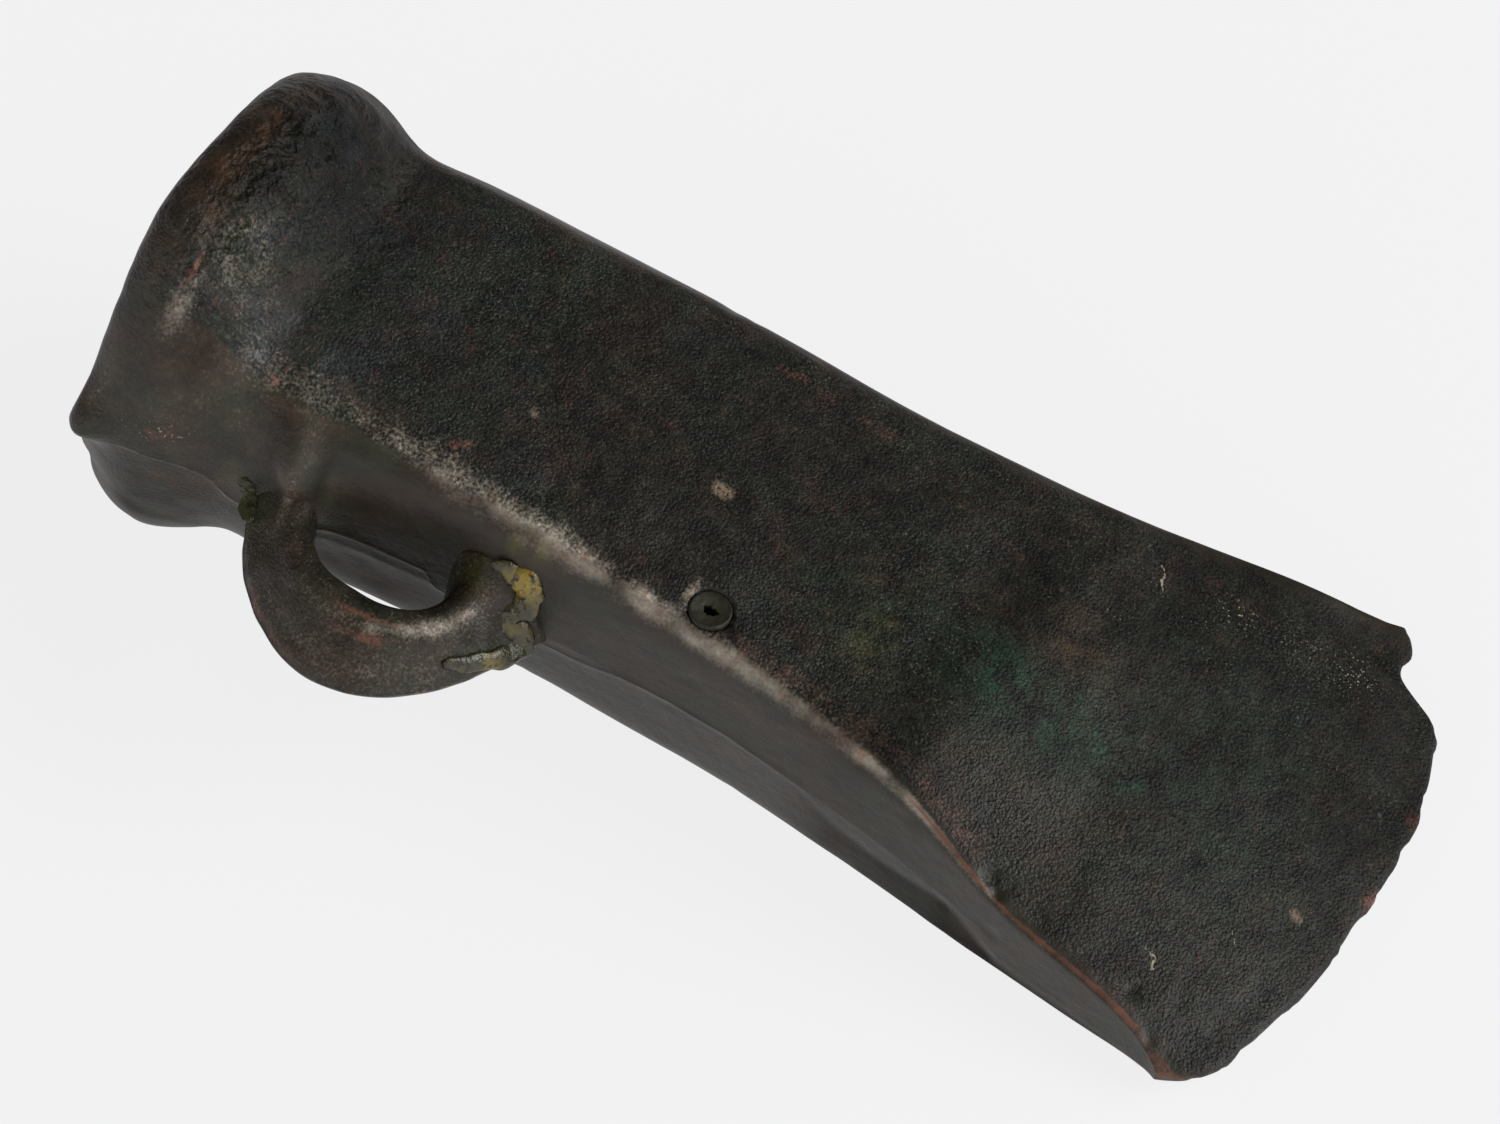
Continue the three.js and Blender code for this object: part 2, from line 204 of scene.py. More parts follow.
def off_axis(u):
    """How far the casting's middle lies off the axis, across and through: the mouth's offset fades
    out by a smoothstep, and the blade's fades in by another."""
    mouth = 1 - onset(u, CREST_AT, MOUTH_OFFSET_END - CREST_AT)
    blade = onset(u, SPRING_AT, AXE_LENGTH - SPRING_AT)
    return MOUTH_OFFSET * mouth + BLADE_OFFSET * blade, MOUTH_DROP * mouth


LUMP_CELLS = 32


def lumps(points, size, seed):
    """Soft noise from -1 to 1 with lumps of that size: random values on the corners of a repeating
    grid of cubes, blended inside each cube by smoothsteps of the place in it."""
    corners = np.random.default_rng(seed).uniform(-1, 1, (LUMP_CELLS, LUMP_CELLS, LUMP_CELLS))
    place = points / size
    cell = np.floor(place).astype(int)
    x = smooth(place - cell)
    total = np.zeros(points.shape[:-1])
    for corner in np.ndindex(2, 2, 2):
        weight = np.prod(np.where(np.array(corner) == 1, x, 1 - x), axis=-1)
        i = (cell + corner) % LUMP_CELLS
        total += weight * corners[i[..., 0], i[..., 1], i[..., 2]]
    return total


# The cutting edge: its sag towards each corner, the worn bite in its far half, and its raggedness
EDGE_APEX = 0.0
NEAR_SAG, NEAR_POWER = 3.5, 1.9
CORNER_SAG, CORNER_POWER = 3.0, 11
FAR_SAG, FAR_POWER = 9.1, 3.3
BITE_AT, BITE_WIDTH, BITE_DEPTH = 20.1, 1.9, 2.7
NIBBLE_DEPTH, NIBBLE_SIZE, NIBBLE_REACH = 0.34, 2.1, 1.1
NIBBLE_SPREAD = 0.2


def edge_sag(v):
    """How far a point of the cutting edge lies behind its foremost one: a power of its share of the
    way to the corner, on each side its own, a steeper power that rounds the near corner, and the
    worn bite as a bell."""
    near_share = np.abs((v - EDGE_APEX) / (BLADE_OFFSET - BLADE_WIDTH / 2))
    near = NEAR_SAG * near_share ** NEAR_POWER + CORNER_SAG * near_share ** CORNER_POWER
    far = FAR_SAG * np.abs((v - EDGE_APEX) / (BLADE_OFFSET + BLADE_WIDTH / 2)) ** FAR_POWER
    return np.where(v < EDGE_APEX, near, far) + BITE_DEPTH * bell(v - BITE_AT, BITE_WIDTH)


def nibbles(v):
    """The small losses that make the edge ragged: two sizes of soft noise, only their hollows."""
    line = np.stack([v, np.zeros_like(v), np.zeros_like(v)], axis=-1)
    coarse = np.clip(lumps(line, NIBBLE_SIZE, 11) + NIBBLE_SPREAD, 0, 1)
    fine = np.clip(lumps(line, NIBBLE_SIZE / 3, 12), 0, 1)
    return NIBBLE_DEPTH * (coarse + 0.5 * fine)


# The lip's ragged corner by the loop: a flash that stands out, and a chip under it. Then the places
# of the loop's feet, where the wall swells.
FLASH_HEIGHT, FLASH_UP, FLASH_WIDTH = 2.6, 3.8, 2.0
CHIP_DEPTH, CHIP_DOWN, CHIP_WIDTH = 1.2, 6.0, 4.0
RAGGED_AT, RAGGED_LENGTH = 1.0, 2.6
LOOP_AT = 27.1
LOOP_HALF_SPAN = 9.2
LOOP_DROP = -0.45
FOOT_SWELL, FOOT_SWELL_LENGTH, FOOT_SWELL_WIDTH = 0.7, 3.0, 5.5


def casting_rings(u):
    """The outer skin at places u, a column of them: sections along the stations, rolled over at the
    lip by a quarter ellipse and at the cutting edge by a quarter circle, then swept back by the
    edge's sag, made ragged at the lip's spot and along the edge, and swollen round the loop's feet."""
    lip = np.minimum(u / CREST_AT, 1)
    loss = LIP_ROLL * (1 - np.sqrt(1 - (1 - lip) ** 2))
    tip = np.clip((u - AXE_LENGTH + EDGE_ROUND) / EDGE_ROUND, 0, 1)
    thin = EDGE_ROUND * (1 - np.sqrt(1 - tip ** 2))
    value = {key: along(STATIONS_AT, values, u) for key, values in CASTING.items()}
    half_width = value["width"] / 2 - loss - thin
    v, w = section(
        half_width, value["depth"] / 2 - loss - thin,
        value["power"], value["keel_share"], value["crown_share"],
    )
    aside, down = off_axis(u)
    sweep = onset(u, SPRING_AT, AXE_LENGTH - SPRING_AT)
    flash = FLASH_HEIGHT * bell(w - FLASH_UP, FLASH_WIDTH)
    chip = CHIP_DEPTH * bell(w + CHIP_DOWN, CHIP_WIDTH)
    ragged = (flash - chip) * bell(u - RAGGED_AT, RAGGED_LENGTH)
    feet = sum(bell(u - LOOP_AT - end * LOOP_HALF_SPAN, FOOT_SWELL_LENGTH) for end in (-1, 1))
    swollen = FOOT_SWELL * bell(w - LOOP_DROP, FOOT_SWELL_WIDTH) * feet
    outwards = (ragged + swollen) * smooth(-2 * v / half_width)
    place = v + aside
    frayed = nibbles(place) * np.exp(-(AXE_LENGTH - u) / NIBBLE_REACH)
    return np.stack([u - sweep * edge_sag(place) - frayed, place - outwards, w + down], axis=-1)


def socket_rings(u):
    """The socket's wall at places u, as sections along its own stations."""
    value = {key: along(SOCKET_AT, values, u) for key, values in SOCKET.items()}
    v, w = section(value["width"] / 2, value["depth"] / 2, value["power"], 0, 0)
    aside, down = off_axis(u)
    return np.stack([u + 0 * v, v + aside, w + down], axis=-1)


LIP_ROWS = 18
BODY_ROWS = 276
TIP_ROWS = 8
SOCKET_ROWS = 22
LAND_ROWS = 4
FIRST_OUTER = SOCKET_ROWS + LAND_ROWS

# One skin of rings: up the socket's wall, over the land of the lip and down the outside to the edge
quarter = np.pi / 2
lip_u = CREST_AT * (1 - np.cos(quarter * np.arange(LIP_ROWS) / LIP_ROWS))
body_u = np.linspace(CREST_AT, AXE_LENGTH - EDGE_ROUND, BODY_ROWS, endpoint=False)
tip_u = AXE_LENGTH - EDGE_ROUND * (1 - np.sin(quarter * np.arange(TIP_ROWS) / (TIP_ROWS - 0.5)))
outer_u = np.concatenate([lip_u, body_u, tip_u])[:, None]
socket_u = np.linspace(SOCKET_DEPTH, 0, SOCKET_ROWS)[:, None]
outer = casting_rings(outer_u)
inner = socket_rings(socket_u)
land_share = (np.arange(LAND_ROWS)[:, None, None] + 1) / (LAND_ROWS + 1)
land = inner[-1] * (1 - land_share) + outer[0] * land_share
points = np.concatenate([inner, land, outer])


def outward(grid):
    """Unit normals of a grid whose columns close round: the cross product of the step round the
    ring and the step to the next ring."""
    round_step = np.roll(grid, -1, axis=1) - np.roll(grid, 1, axis=1)
    ring_step = np.gradient(grid, axis=0)
    normal = np.cross(round_step, ring_step)
    length = np.linalg.norm(normal, axis=-1, keepdims=True)
    return normal / np.maximum(length, 1e-9)


# Where each point of the smooth skin lies: along, across and through, outside the socket or in it,
# and how far in from the arris of its broad face. The two arrises that show are told apart.
skin_u = points[..., 0]
skin_v = points[..., 1]
skin_w = points[..., 2]
ring_u = np.concatenate([np.zeros((FIRST_OUTER, 1)), outer_u])
outside = np.zeros(skin_u.shape)
outside[FIRST_OUTER:] = 1
half_width = along(STATIONS_AT, CASTING["width"], ring_u) / 2
half_depth = along(STATIONS_AT, CASTING["depth"], ring_u) / 2
from_arris = np.where(INWARD > 0, INWARD * half_width, (CLIMB - 1) * half_depth)
near_side = ACROSS_SIGN < 0
upper_side = UP_SIGN > 0
above = upper_side * outside
near_arris = near_side * upper_side * outside
far_arris = ~near_side * upper_side * outside

# The joint of the two mould halves wandered. Each pair is a place along the axe and the joint's
# height there on the near side.
SEAM = np.array([
    (0, 1.5), (8, 1.1), (11, 0.3), (13.5, -1.5), (23, 0.5), (29.7, 0.7), (31, -0.7), (42.2, -1.3),
    (47.8, -0.1), (61, 0.1), (69.7, -1.5), (78.3, 0), (84.4, -1.8), (105, -1),
])
seam_height = along(SEAM[:, 0], SEAM[:, 1], ring_u)
from_seam = np.where(near_side, skin_w - seam_height, UP_SIGN * CLIMB * half_depth)


def blot(u, v, length, width):
    """A soft round spot on the upper skin, by the two distances from its middle."""
    return bell(skin_u - u, length) * bell(skin_v - v, width) * above


def flank_blot(u, w, length, width):
    """A soft round spot on the near narrow side."""
    return bell(skin_u - u, length) * bell(skin_w - w, width) * near_side * outside


def spots(table, spot=blot):
    """The sum of soft spots. Each row is a strength, then the spot's two places and two sizes."""
    return sum(strength * spot(*form) for strength, *form in table)


# The broad faces are rough from the mould and the ground. The narrow sides, the collar and the
# loop were rubbed smooth, and so was a patch of the face beside the hollow.
FACE_FRAY, SATIN_FRAY = 1.6, 2.6
COLLAR_END = 9
SMOOTHED = [(0.5, 79, -11, 6, 4.5)]
face_share = smooth((from_arris - 0.2 + 0.6 * lumps(points, FACE_FRAY, 34)) / FACE_FRAY)
sand = outside * face_share * (0.6 + 0.4 * onset(ring_u, COLLAR_END, 16))
sand = np.maximum(sand, 0.35 * outside * (1 - onset(ring_u, 16, 8)))
satin = outside * (1 - face_share * smooth((ring_u - 1) / 5 + 0.6 * lumps(points, SATIN_FRAY, 35)))
satin += spots(SMOOTHED)

# Waves in the skin, each with its height, the size of its lumps and its seed, the mould's grain,
# and the little that the whole skin lost to corrosion
WAVES = [(0.20, 12, 1), (0.12, 4.6, 2), (0.06, 1.7, 3)]
LOSS = 0.16
SAND_HEIGHT, SAND_SIZE = 0.03, 0.85
uneven = np.maximum(sand, 1 - onset(ring_u, COLLAR_END, 12))
wave = sum(height * lumps(points, size, seed) for height, size, seed in WAVES)
relief = wave * (0.25 + 0.75 * uneven) - LOSS
relief += SAND_HEIGHT * lumps(points, SAND_SIZE, 4) * sand

# A hollow in the upper face, the collar's dimples, each with its depth, size and seed, and a
# ridge that runs down to the loop
HOLLOW = [(0.45, 68.5, 4.5, 5, 7)]
DIMPLED = [(1.0, 6.0, -5.0, 4.5, 9), (0.5, 10, 4, 5, 7), (0.4, 4, 8, 3, 6)]
DIMPLES = [(0.8, 2.8, 5), (0.4, 1.5, 7)]
RIDGE_HEIGHT, RIDGE_AT, RIDGE_WIDTH, RIDGE_LEAN = 1.8, 20.275, 2.0, 0.45
RIDGE_LEVEL, RIDGE_SPAN = 5.0, 3.2
relief -= spots(HOLLOW)
dented = np.minimum(spots(DIMPLED), 1)
dimple = sum(depth * np.abs(lumps(points, size, seed)) for depth, size, seed in DIMPLES)
relief -= dimple * dented * smooth(ring_u / 4)
ridge_line = skin_u - RIDGE_AT + RIDGE_LEAN * skin_w
ridge = bell(ridge_line, RIDGE_WIDTH) * bell(skin_w - RIDGE_LEVEL, RIDGE_SPAN)
relief += RIDGE_HEIGHT * near_side * ridge

# The lip stands out further over its near half, and the far arris under the collar is fuller
FULLNESS = 0.95
relief += FULLNESS * above * bell(ring_u - 1.2, 2.6) * bell(skin_v + 9.5, 6)
relief += FULLNESS * far_arris * bell(from_arris, 5) * bell(ring_u - 13, 14) * onset(ring_u, 7, 6)

# Six large pits on the upper face, and small ones scattered over the outside
PITS = [
    (0.45, 80.2, -17.3, 0.7, 0.7), (0.4, 81.1, -18.2, 0.55, 0.55), (0.3, 81.6, -17.1, 0.5, 0.5),
    (0.25, 97.0, -17.0, 0.8, 0.8), (0.25, 93.5, -18.6, 0.6, 0.6), (0.2, 44.0, -7.5, 0.6, 0.6),
]
SMALL_PITS = 90
SMALL_PIT_DEPTHS = 0.05, 0.18
SMALL_PIT_SIZES = 0.35, 0.9
relief -= spots(PITS)
scatter = np.random.default_rng(21)
for _ in range(SMALL_PITS):
    row = scatter.integers(FIRST_OUTER + LIP_ROWS, len(points) - TIP_ROWS)
    column = scatter.integers(0, len(CLIMB))
    depth = scatter.uniform(*SMALL_PIT_DEPTHS)
    size = scatter.uniform(*SMALL_PIT_SIZES)
    distance = np.linalg.norm(points - points[row, column], axis=-1)
    relief -= depth * bell(distance, size) * outside

# The mould's joint left a low ridge down both narrow sides and over the collar, hammered nearly
# flat by the blade. All relief dies out towards the cutting edge.
SEAM_HEIGHT, SEAM_WIDTH = 0.13, 0.34
SEAM_FLATTENED_AT = 58
EDGE_CALM, EDGE_RELIEF = 3, 0.1
seam_fade = 0.6 + 0.4 * lumps(points, 9, 6)
flattened = 1 - 0.85 * onset(ring_u, SEAM_FLATTENED_AT, 9)
relief += SEAM_HEIGHT * bell(from_seam, SEAM_WIDTH) * seam_fade * outside * flattened
relief *= smooth((AXE_LENGTH - ring_u) / EDGE_CALM) * (1 - EDGE_RELIEF) + EDGE_RELIEF

# The sampling hole: the grid is drawn together at its rim, and its inside pushed down. What lay
# between the rim's two distances from the middle becomes the wall, and nothing past HOLE_DRAW moves.
HOLE_AT, HOLE_ACROSS = 51.4, -11.6
HOLE_RADIUS, HOLE_DEPTH = 1.7, 2.4
HOLE_DRAW = 2.9
HOLE_WALL_IN, HOLE_WALL_OUT = 0.08, 0.06
RIM_INNER, RIM_OUTER = 0.8, 1.5
FAR_OFF = 1e3
hole_u = skin_u - HOLE_AT
hole_v = skin_v - HOLE_ACROSS
reach = np.where(above > 0, np.hypot(hole_u, hole_v), FAR_OFF)
drawn = np.interp(
    reach,
    [0, RIM_INNER, RIM_OUTER, HOLE_DRAW, FAR_OFF],
    [0, HOLE_RADIUS - HOLE_WALL_IN, HOLE_RADIUS + HOLE_WALL_OUT, HOLE_DRAW, FAR_OFF],
)
stretch = np.where(reach > 1e-6, drawn / np.maximum(reach, 1e-6), 1)
in_hole = 1 - onset(reach, RIM_INNER, RIM_OUTER - RIM_INNER)
casting = points + outward(points) * (relief * (1 - in_hole))[..., None]
moved_u = HOLE_AT + hole_u * stretch + casting[..., 0] - skin_u
moved_v = HOLE_ACROSS + hole_v * stretch + casting[..., 1] - skin_v
casting[..., 0] = np.where(above > 0, moved_u, casting[..., 0])
casting[..., 1] = np.where(above > 0, moved_v, casting[..., 1])
casting[..., 2] -= HOLE_DEPTH * in_hole

# The axe is laid down on its lower face: turned about the cross axis by the tilt that the mouth's
# mount states, and moved until its box is the CAD node's
mouth_axis = frame["record"]["mounts"][0]["axis"]
TILT = math.atan2(mouth_axis[2], -mouth_axis[0])
LAID = np.array([
    [math.cos(TILT), 0, math.sin(TILT)],
    [0, 1, 0],
    [-math.sin(TILT), 0, math.cos(TILT)],
])
cad_low, cad_high = (np.array(corner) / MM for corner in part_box("axe_body"))
plain = casting_rings(outer_u) @ LAID.T
plain_low, plain_high = plain.min((0, 1)), plain.max((0, 1))
SHIFT = (cad_low + cad_high - plain_low - plain_high) / 2
model_low, model_high = (np.array(corner) / MM for corner in cad_box)


def laid_down(grid):
    """Axe coordinates in millimetres to the row frame in metres, kept inside the model's box."""
    return np.clip(grid @ LAID.T + SHIFT, model_low, model_high) * MM


def closed_skin(name, grid, masks):
    """A mesh through rings of equal count, rows by columns, closed at both ends by pairing the
    columns of its two halves. Each mask becomes a point attribute."""
    rows, count = grid.shape[:2]
    a = (np.arange(rows - 1)[:, None] * count + np.arange(count)).ravel()
    b = (np.arange(rows - 1)[:, None] * count + (np.arange(count) + 1) % count).ravel()
    quads = np.stack([a, b, b + count, a + count], axis=1).tolist()
    j = np.arange(count // 2)
    caps = np.stack([j, j + 1, count - j - 1, (count - j) % count], axis=1)
    end = (rows - 1) * count
    lids = [list(dict.fromkeys(face)) for face in (caps + end).tolist()]
    lids += [list(dict.fromkeys(face))[::-1] for face in caps.tolist()]
    mesh = bpy.data.meshes.new(name)
    mesh.from_pydata(laid_down(grid).reshape(-1, 3).tolist(), [], quads + lids)
    mesh.polygons.foreach_set("use_smooth", np.ones(len(mesh.polygons), bool))
    for mask, values in masks.items():
        attribute = mesh.attributes.new(mask, "FLOAT", "POINT")
        flat = np.broadcast_to(values, (rows, count)).ravel()
        attribute.data.foreach_set("value", flat.astype(np.float32))
    mesh.update()
    piece = bpy.data.objects.new(name, mesh)
    bpy.context.scene.collection.objects.link(piece)
    return piece


# Where hands and cloths rubbed the patina to a pale grey, and painted highlights in the same mask:
# along the upper near arris in a band that starts on the face under the collar and narrows towards
# the blade, which is also the arris's painted highlight, and on the collar's crest. The band's
# distance from the arris and its width are given at places along the axe.
RUB_AND_HIGHLIGHT_AT = np.array([
    (10, 3.0), (14, 2.8), (22, 2.3), (30, 1.6), (40, 0.7), (48, 0.0), (60, -0.2), (105, 0.0),
])
RUB_AND_HIGHLIGHT_WIDTH = np.array([(10, 2.3), (34, 2.1), (48, 1.5), (60, 1.3), (76, 0.6), (105, 0.5)])
RUBBED_AND_HIGHLIT = [(0.8, 5.0, -14.4, 1.1, 1.8), (0.2, 13.0, -12.4, 4.5, 3.2), (1.0, 49.5, -11.3, 0.5, 1.3)]
RUBBED_AND_SHEEN_CREST = [(0.45, 7.4, -8.6, 2.6, 3.6)]
RUBBED_AND_HIGHLIT_FLANK = [(0.2, 9.5, 6.5, 4.5, 4.0), (0.45, 18.4, 5.2, 0.7, 2.4), (0.3, 1.4, 5.8, 0.7, 2.8)]
mottled = 0.8 + 0.45 * lumps(points, 2.6, 31) + 0.25 * lumps(points, 0.9, 32)
from_band = from_arris - along(RUB_AND_HIGHLIGHT_AT[:, 0], RUB_AND_HIGHLIGHT_AT[:, 1], ring_u)
rub_and_highlight = near_arris * bell(from_band, along(RUB_AND_HIGHLIGHT_WIDTH[:, 0], RUB_AND_HIGHLIGHT_WIDTH[:, 1], ring_u))
rub_and_highlight *= onset(ring_u, 7, 28) * mottled * (1.1 - 0.85 * onset(ring_u, 74, 10))
other_arrises = outside * ~(near_side & upper_side)
rub_and_highlight += 0.12 * other_arrises * bell(from_arris + 0.1, 0.6) * onset(ring_u, 14, 8) * mottled
# Painted highlights: the collar crest's streak, the neck's soft patch, the dimpled patch's sheen, the
# lip's lit streak by the flash and the ridge down to the loop
rub_and_highlight += spots(RUBBED_AND_HIGHLIT) + spots(RUBBED_AND_HIGHLIT_FLANK, flank_blot) * mottled
rub_and_highlight += spots(RUBBED_AND_SHEEN_CREST) * (0.8 + 0.6 * lumps(points, 1.3, 33))

# Painted sheen, a soft lightening without the bare grains, over the rub and its highlights: round
# the neck's near arris, on the collar and at the loop
PAINTED_SHEEN = [(0.3, 13.0, -12.4, 4.5, 3.2), (0.85, 7.4, -8.6, 3.0, 3.8), (0.5, 2.8, -13.6, 1.2, 1.8)]
PAINTED_SHEEN_FLANK = [
    (0.3, 9.5, 6.5, 4.5, 4.0), (0.5, 21.8, 4.0, 1.6, 2.4), (0.7, 18.2, 5.5, 1.0, 2.4),
    (0.8, 1.5, 5.6, 1.1, 3.2),
]
rub_and_painted_sheen = rub_and_highlight + near_arris * bell(from_band, 3.6) * bell(ring_u - 17, 8)
rub_and_painted_sheen += spots(PAINTED_SHEEN) + spots(PAINTED_SHEEN_FLANK, flank_blot)

# Copper brown: thin along the arris by the blade and along the cutting edge, and in small spots
RUSSET_SPOTS = [
    (0.25, 98.8, -21.7, 1.6, 0.9), (0.8, 104.6, 0.3, 0.7, 1.2), (0.7, 104.0, 8.5, 0.8, 0.9),
]
RUSSET_TORN = [
    (0.9, 28.3, -10.4, 1.0, 0.9), (0.62, 46.6, 10.6, 3.4, 0.9), (0.48, 54.5, 10.5, 4.5, 1.2),
    (0.42, 13.3, -13.2, 1.3, 0.6), (0.85, 4.6, -12.1, 0.3, 1.8),
]
RUSSET_FLANK = [(0.36, 57.0, 4.5, 6.0, 2.6)]
RUSSET_LIP = [(0.8, 6.8, 4.5, 1.6, 1.6)]
EDGE_WEAR_AT = 104.3
torn = 0.65 + 0.7 * lumps(points, 0.9, 36)
russet = 0.95 * near_arris * bell(from_arris + 0.05, 0.2) * onset(ring_u, 68, 8) * (0.6 + 0.4 * torn)
russet *= 1 - 0.6 * onset(ring_u, 97, 5)
scarred = onset(ring_u, 48, 8) * (1 - onset(ring_u, 78, 5))
russet += 0.38 * near_arris * bell(from_arris - 2.2, 2.0) * scarred
edge_wear = 0.15 + 0.6 * np.clip(lumps(points, 3.5, 37), 0, 1)
russet += outside * onset(ring_u, EDGE_WEAR_AT, 0.5) * edge_wear
russet += spots(RUSSET_SPOTS) + spots(RUSSET_TORN) * torn + spots(RUSSET_FLANK, flank_blot)
russet += spots(RUSSET_LIP, flank_blot) * (lumps(points, 0.8, 38) > 0.2)

# Dull brown earth on the collar's top and in a patch by the malachite
UMBER_BROKEN = [(0.9, 3.0, -2.5, 1.0, 6.0)]
UMBER_SPOTS = [(0.7, 75.4, 2.6, 2.2, 3.6), (0.35, 86.0, -7.5, 0.8, 0.8)]
UMBER_FLANK_BROKEN = [(0.8, 9.2, -1.2, 2.4, 0.8)]
UMBER_FLANK = [(0.8, 26.5, -3.5, 6.0, 2.6)]
broken = np.clip(0.5 + 1.1 * lumps(points, 2.2, 39) + 0.5 * lumps(points, 1.0, 40), 0, 1)
umber = 0.5 * (1 - onset(ring_u, 2.5, 3)) * above * onset(skin_v, -14, 6)
umber = (umber + spots(UMBER_BROKEN) + spots(UMBER_FLANK_BROKEN, flank_blot)) * broken
umber += spots(UMBER_SPOTS) + spots(UMBER_FLANK, flank_blot)

# Malachite green on the upper face, by the hollow and thinly towards the edge, with half a ring
GREEN_SPOTS = [
    (0.7, 73.0, -3.0, 3.4, 3.4), (0.5, 78.5, -3.4, 4.5, 3.6), (0.3, 89, 0, 9, 9), (0.3, 66, -2.0, 6, 4),
    (0.25, 57, -3.5, 3, 2),
]
GREEN_RING_AT, GREEN_RING_ACROSS, GREEN_RING_RADIUS = 83.8, -2.6, 2.2
from_ring = np.hypot(skin_u - GREEN_RING_AT, skin_v - GREEN_RING_ACROSS) - GREEN_RING_RADIUS
green = spots(GREEN_SPOTS) + 0.9 * bell(from_ring, 0.35) * above * (skin_v < -2.2)

# Olive stains round the resin, pale specks in loose clusters, and single pale grains
OLIVE_SPOTS = [(0.3, 63.0, -7.0, 3.0, 3.2)]
OLIVE_FLANK = [
    (0.8, 36.0, 7.6, 0.7, 0.7), (0.8, 37.8, 8.1, 0.8, 0.8), (0.4, 13.7, 1.5, 1.4, 1.4),
    (0.6, 8.6, -7.1, 1.0, 0.8),
]
SPECKLED_SPOTS = [
    (1.2, 84.3, 14.7, 1.6, 1.4), (0.4, 91.0, 16.0, 4.5, 2.2), (1.2, 94.8, 17.0, 1.4, 2.2),
    (0.35, 36.6, 2.8, 2.5, 1.2),
]
SPECKLED_FLANK = [(1.0, 7.5, 3.8, 2.6, 1.0)]
CHALK_SPOTS = [
    (0.9, 46.8, -2.0, 0.95, 0.65), (0.75, 100.8, -4.8, 0.5, 0.45), (0.6, 31.4, -4.6, 0.55, 0.3),
]
CHALK_START, CHALK_LENGTH = 0.25, 0.25
olive = spots(OLIVE_SPOTS) + spots(OLIVE_FLANK, flank_blot)
speckled = spots(SPECKLED_SPOTS) + spots(SPECKLED_FLANK, flank_blot)
chalk = onset(spots(CHALK_SPOTS) * (1 + 0.5 * lumps(points, 0.7, 50)), CHALK_START, CHALK_LENGTH)

# A duller, blacker crust on the collar's top, on the blade's far half and under the joint of the
# mould on the near side, with painted shade in the same mask: a band where the face turns down over
# the hollow, the shadow by the sampling hole, the collar's crevice, and on the near narrow side
# behind and under the loop and on both sides of the ridge down to it
PAINTED_SHADOW_SPOTS = [(0.8, 53.3, -11.8, 0.7, 1.5), (0.6, 8.0, -14.5, 1.8, 2.6)]
CRUST_AND_SHADE_FLANK = [
    (0.8, 7.0, -8.0, 7.0, 5.0), (0.35, 27.5, 3.5, 6.0, 3.2), (1.0, 27.0, -4.6, 9.0, 3.4),
    (0.8, 20.1, 4.4, 0.5, 2.4), (0.6, 15.8, 4.6, 1.0, 2.2),
]
CRUST_CLEARED = [(0.8, 7.0, -7.0, 3.2, 4.5)]
on_collar = 0.9 * bell(ring_u - 8, 6.5) * onset(skin_v, -13, 8) * (1 - spots(CRUST_CLEARED))
# Painted shade: a dark band across the face where it turns down towards the blade
shade_over_hollow = 0.9 * bell(skin_u - 69.8 - 0.16 * skin_v, 3.8) * onset(skin_v, -17, 4)
on_blade = 0.6 * onset(ring_u, 70, 8) * onset(skin_v, -5, 11)
on_body = 0.3 * onset(ring_u, 30, 12) * onset(skin_v, -12, 8)
crust_and_painted_shade = above * np.max([on_collar, shade_over_hollow, on_blade, on_body], axis=0)
# Painted shadow beside the sampling hole and in the collar's crevice, and painted shade on the near
# narrow side behind and under the loop and by the ridge
crust_and_painted_shade += spots(PAINTED_SHADOW_SPOTS) + spots(CRUST_AND_SHADE_FLANK, flank_blot)
crust_and_painted_shade += near_side * outside * onset(-from_seam, 0.3, 1.2) * onset(ring_u, 60, 12)
crust_and_painted_shade *= 0.9 + 0.35 * lumps(points, 5.0, 44) + 0.2 * lumps(points, 1.8, 45)


def linear(colour):
    """A colour written as sRGB hex, as the linear RGBA that a shader socket takes."""
    parts = [int(colour[i:i + 2], 16) / 255 for i in (1, 3, 5)]
    return (*(p / 12.92 if p <= 0.04045 else ((p + 0.055) / 1.055) ** 2.4 for p in parts), 1.0)


def add(tree, kind, inputs=None, output=0, **settings):
    """Adds a node with its settings, sets or links each named input, and gives back one output."""
    made = tree.nodes.new("ShaderNode" + kind)
    for name, value in settings.items():
        setattr(made, name, value)
    for socket, value in (inputs or {}).items():
        if isinstance(value, bpy.types.NodeSocket):
            tree.links.new(value, made.inputs[socket])
        else:
            made.inputs[socket].default_value = value
    return made.outputs[output] if made.outputs else None


def layered(tree, under, tints):
    """Tints laid over a colour one by one, each by the product of its shares."""
    for tint, *shares in tints:
        amount = shares[0]
        for share in shares[1:]:
            amount = add(tree, "Math", {0: amount, 1: share}, operation="MULTIPLY")
        over = linear(tint) if isinstance(tint, str) else tint
        under = add(tree, "Mix", {0: amount, 6: under, 7: over}, output=2, data_type="RGBA")
    return under


def empty_material(name):
    """A material without nodes, and its tree."""
    material = bpy.data.materials.new(name)
    material.use_nodes = True
    material.node_tree.nodes.clear()
    return material, material.node_tree


def nearest_on_face(u, v):
    """The index of the point of the smooth upper skin that is nearest to that u and v."""
    return np.argmin(np.where(above > 0, np.hypot(skin_u - u, skin_v - v), FAR_OFF))


def face_point(u, v):
    """The place on the finished upper skin at that u and v, in the row frame."""
    return Vector(laid_down(casting.reshape(-1, 3)[nearest_on_face(u, v)]))


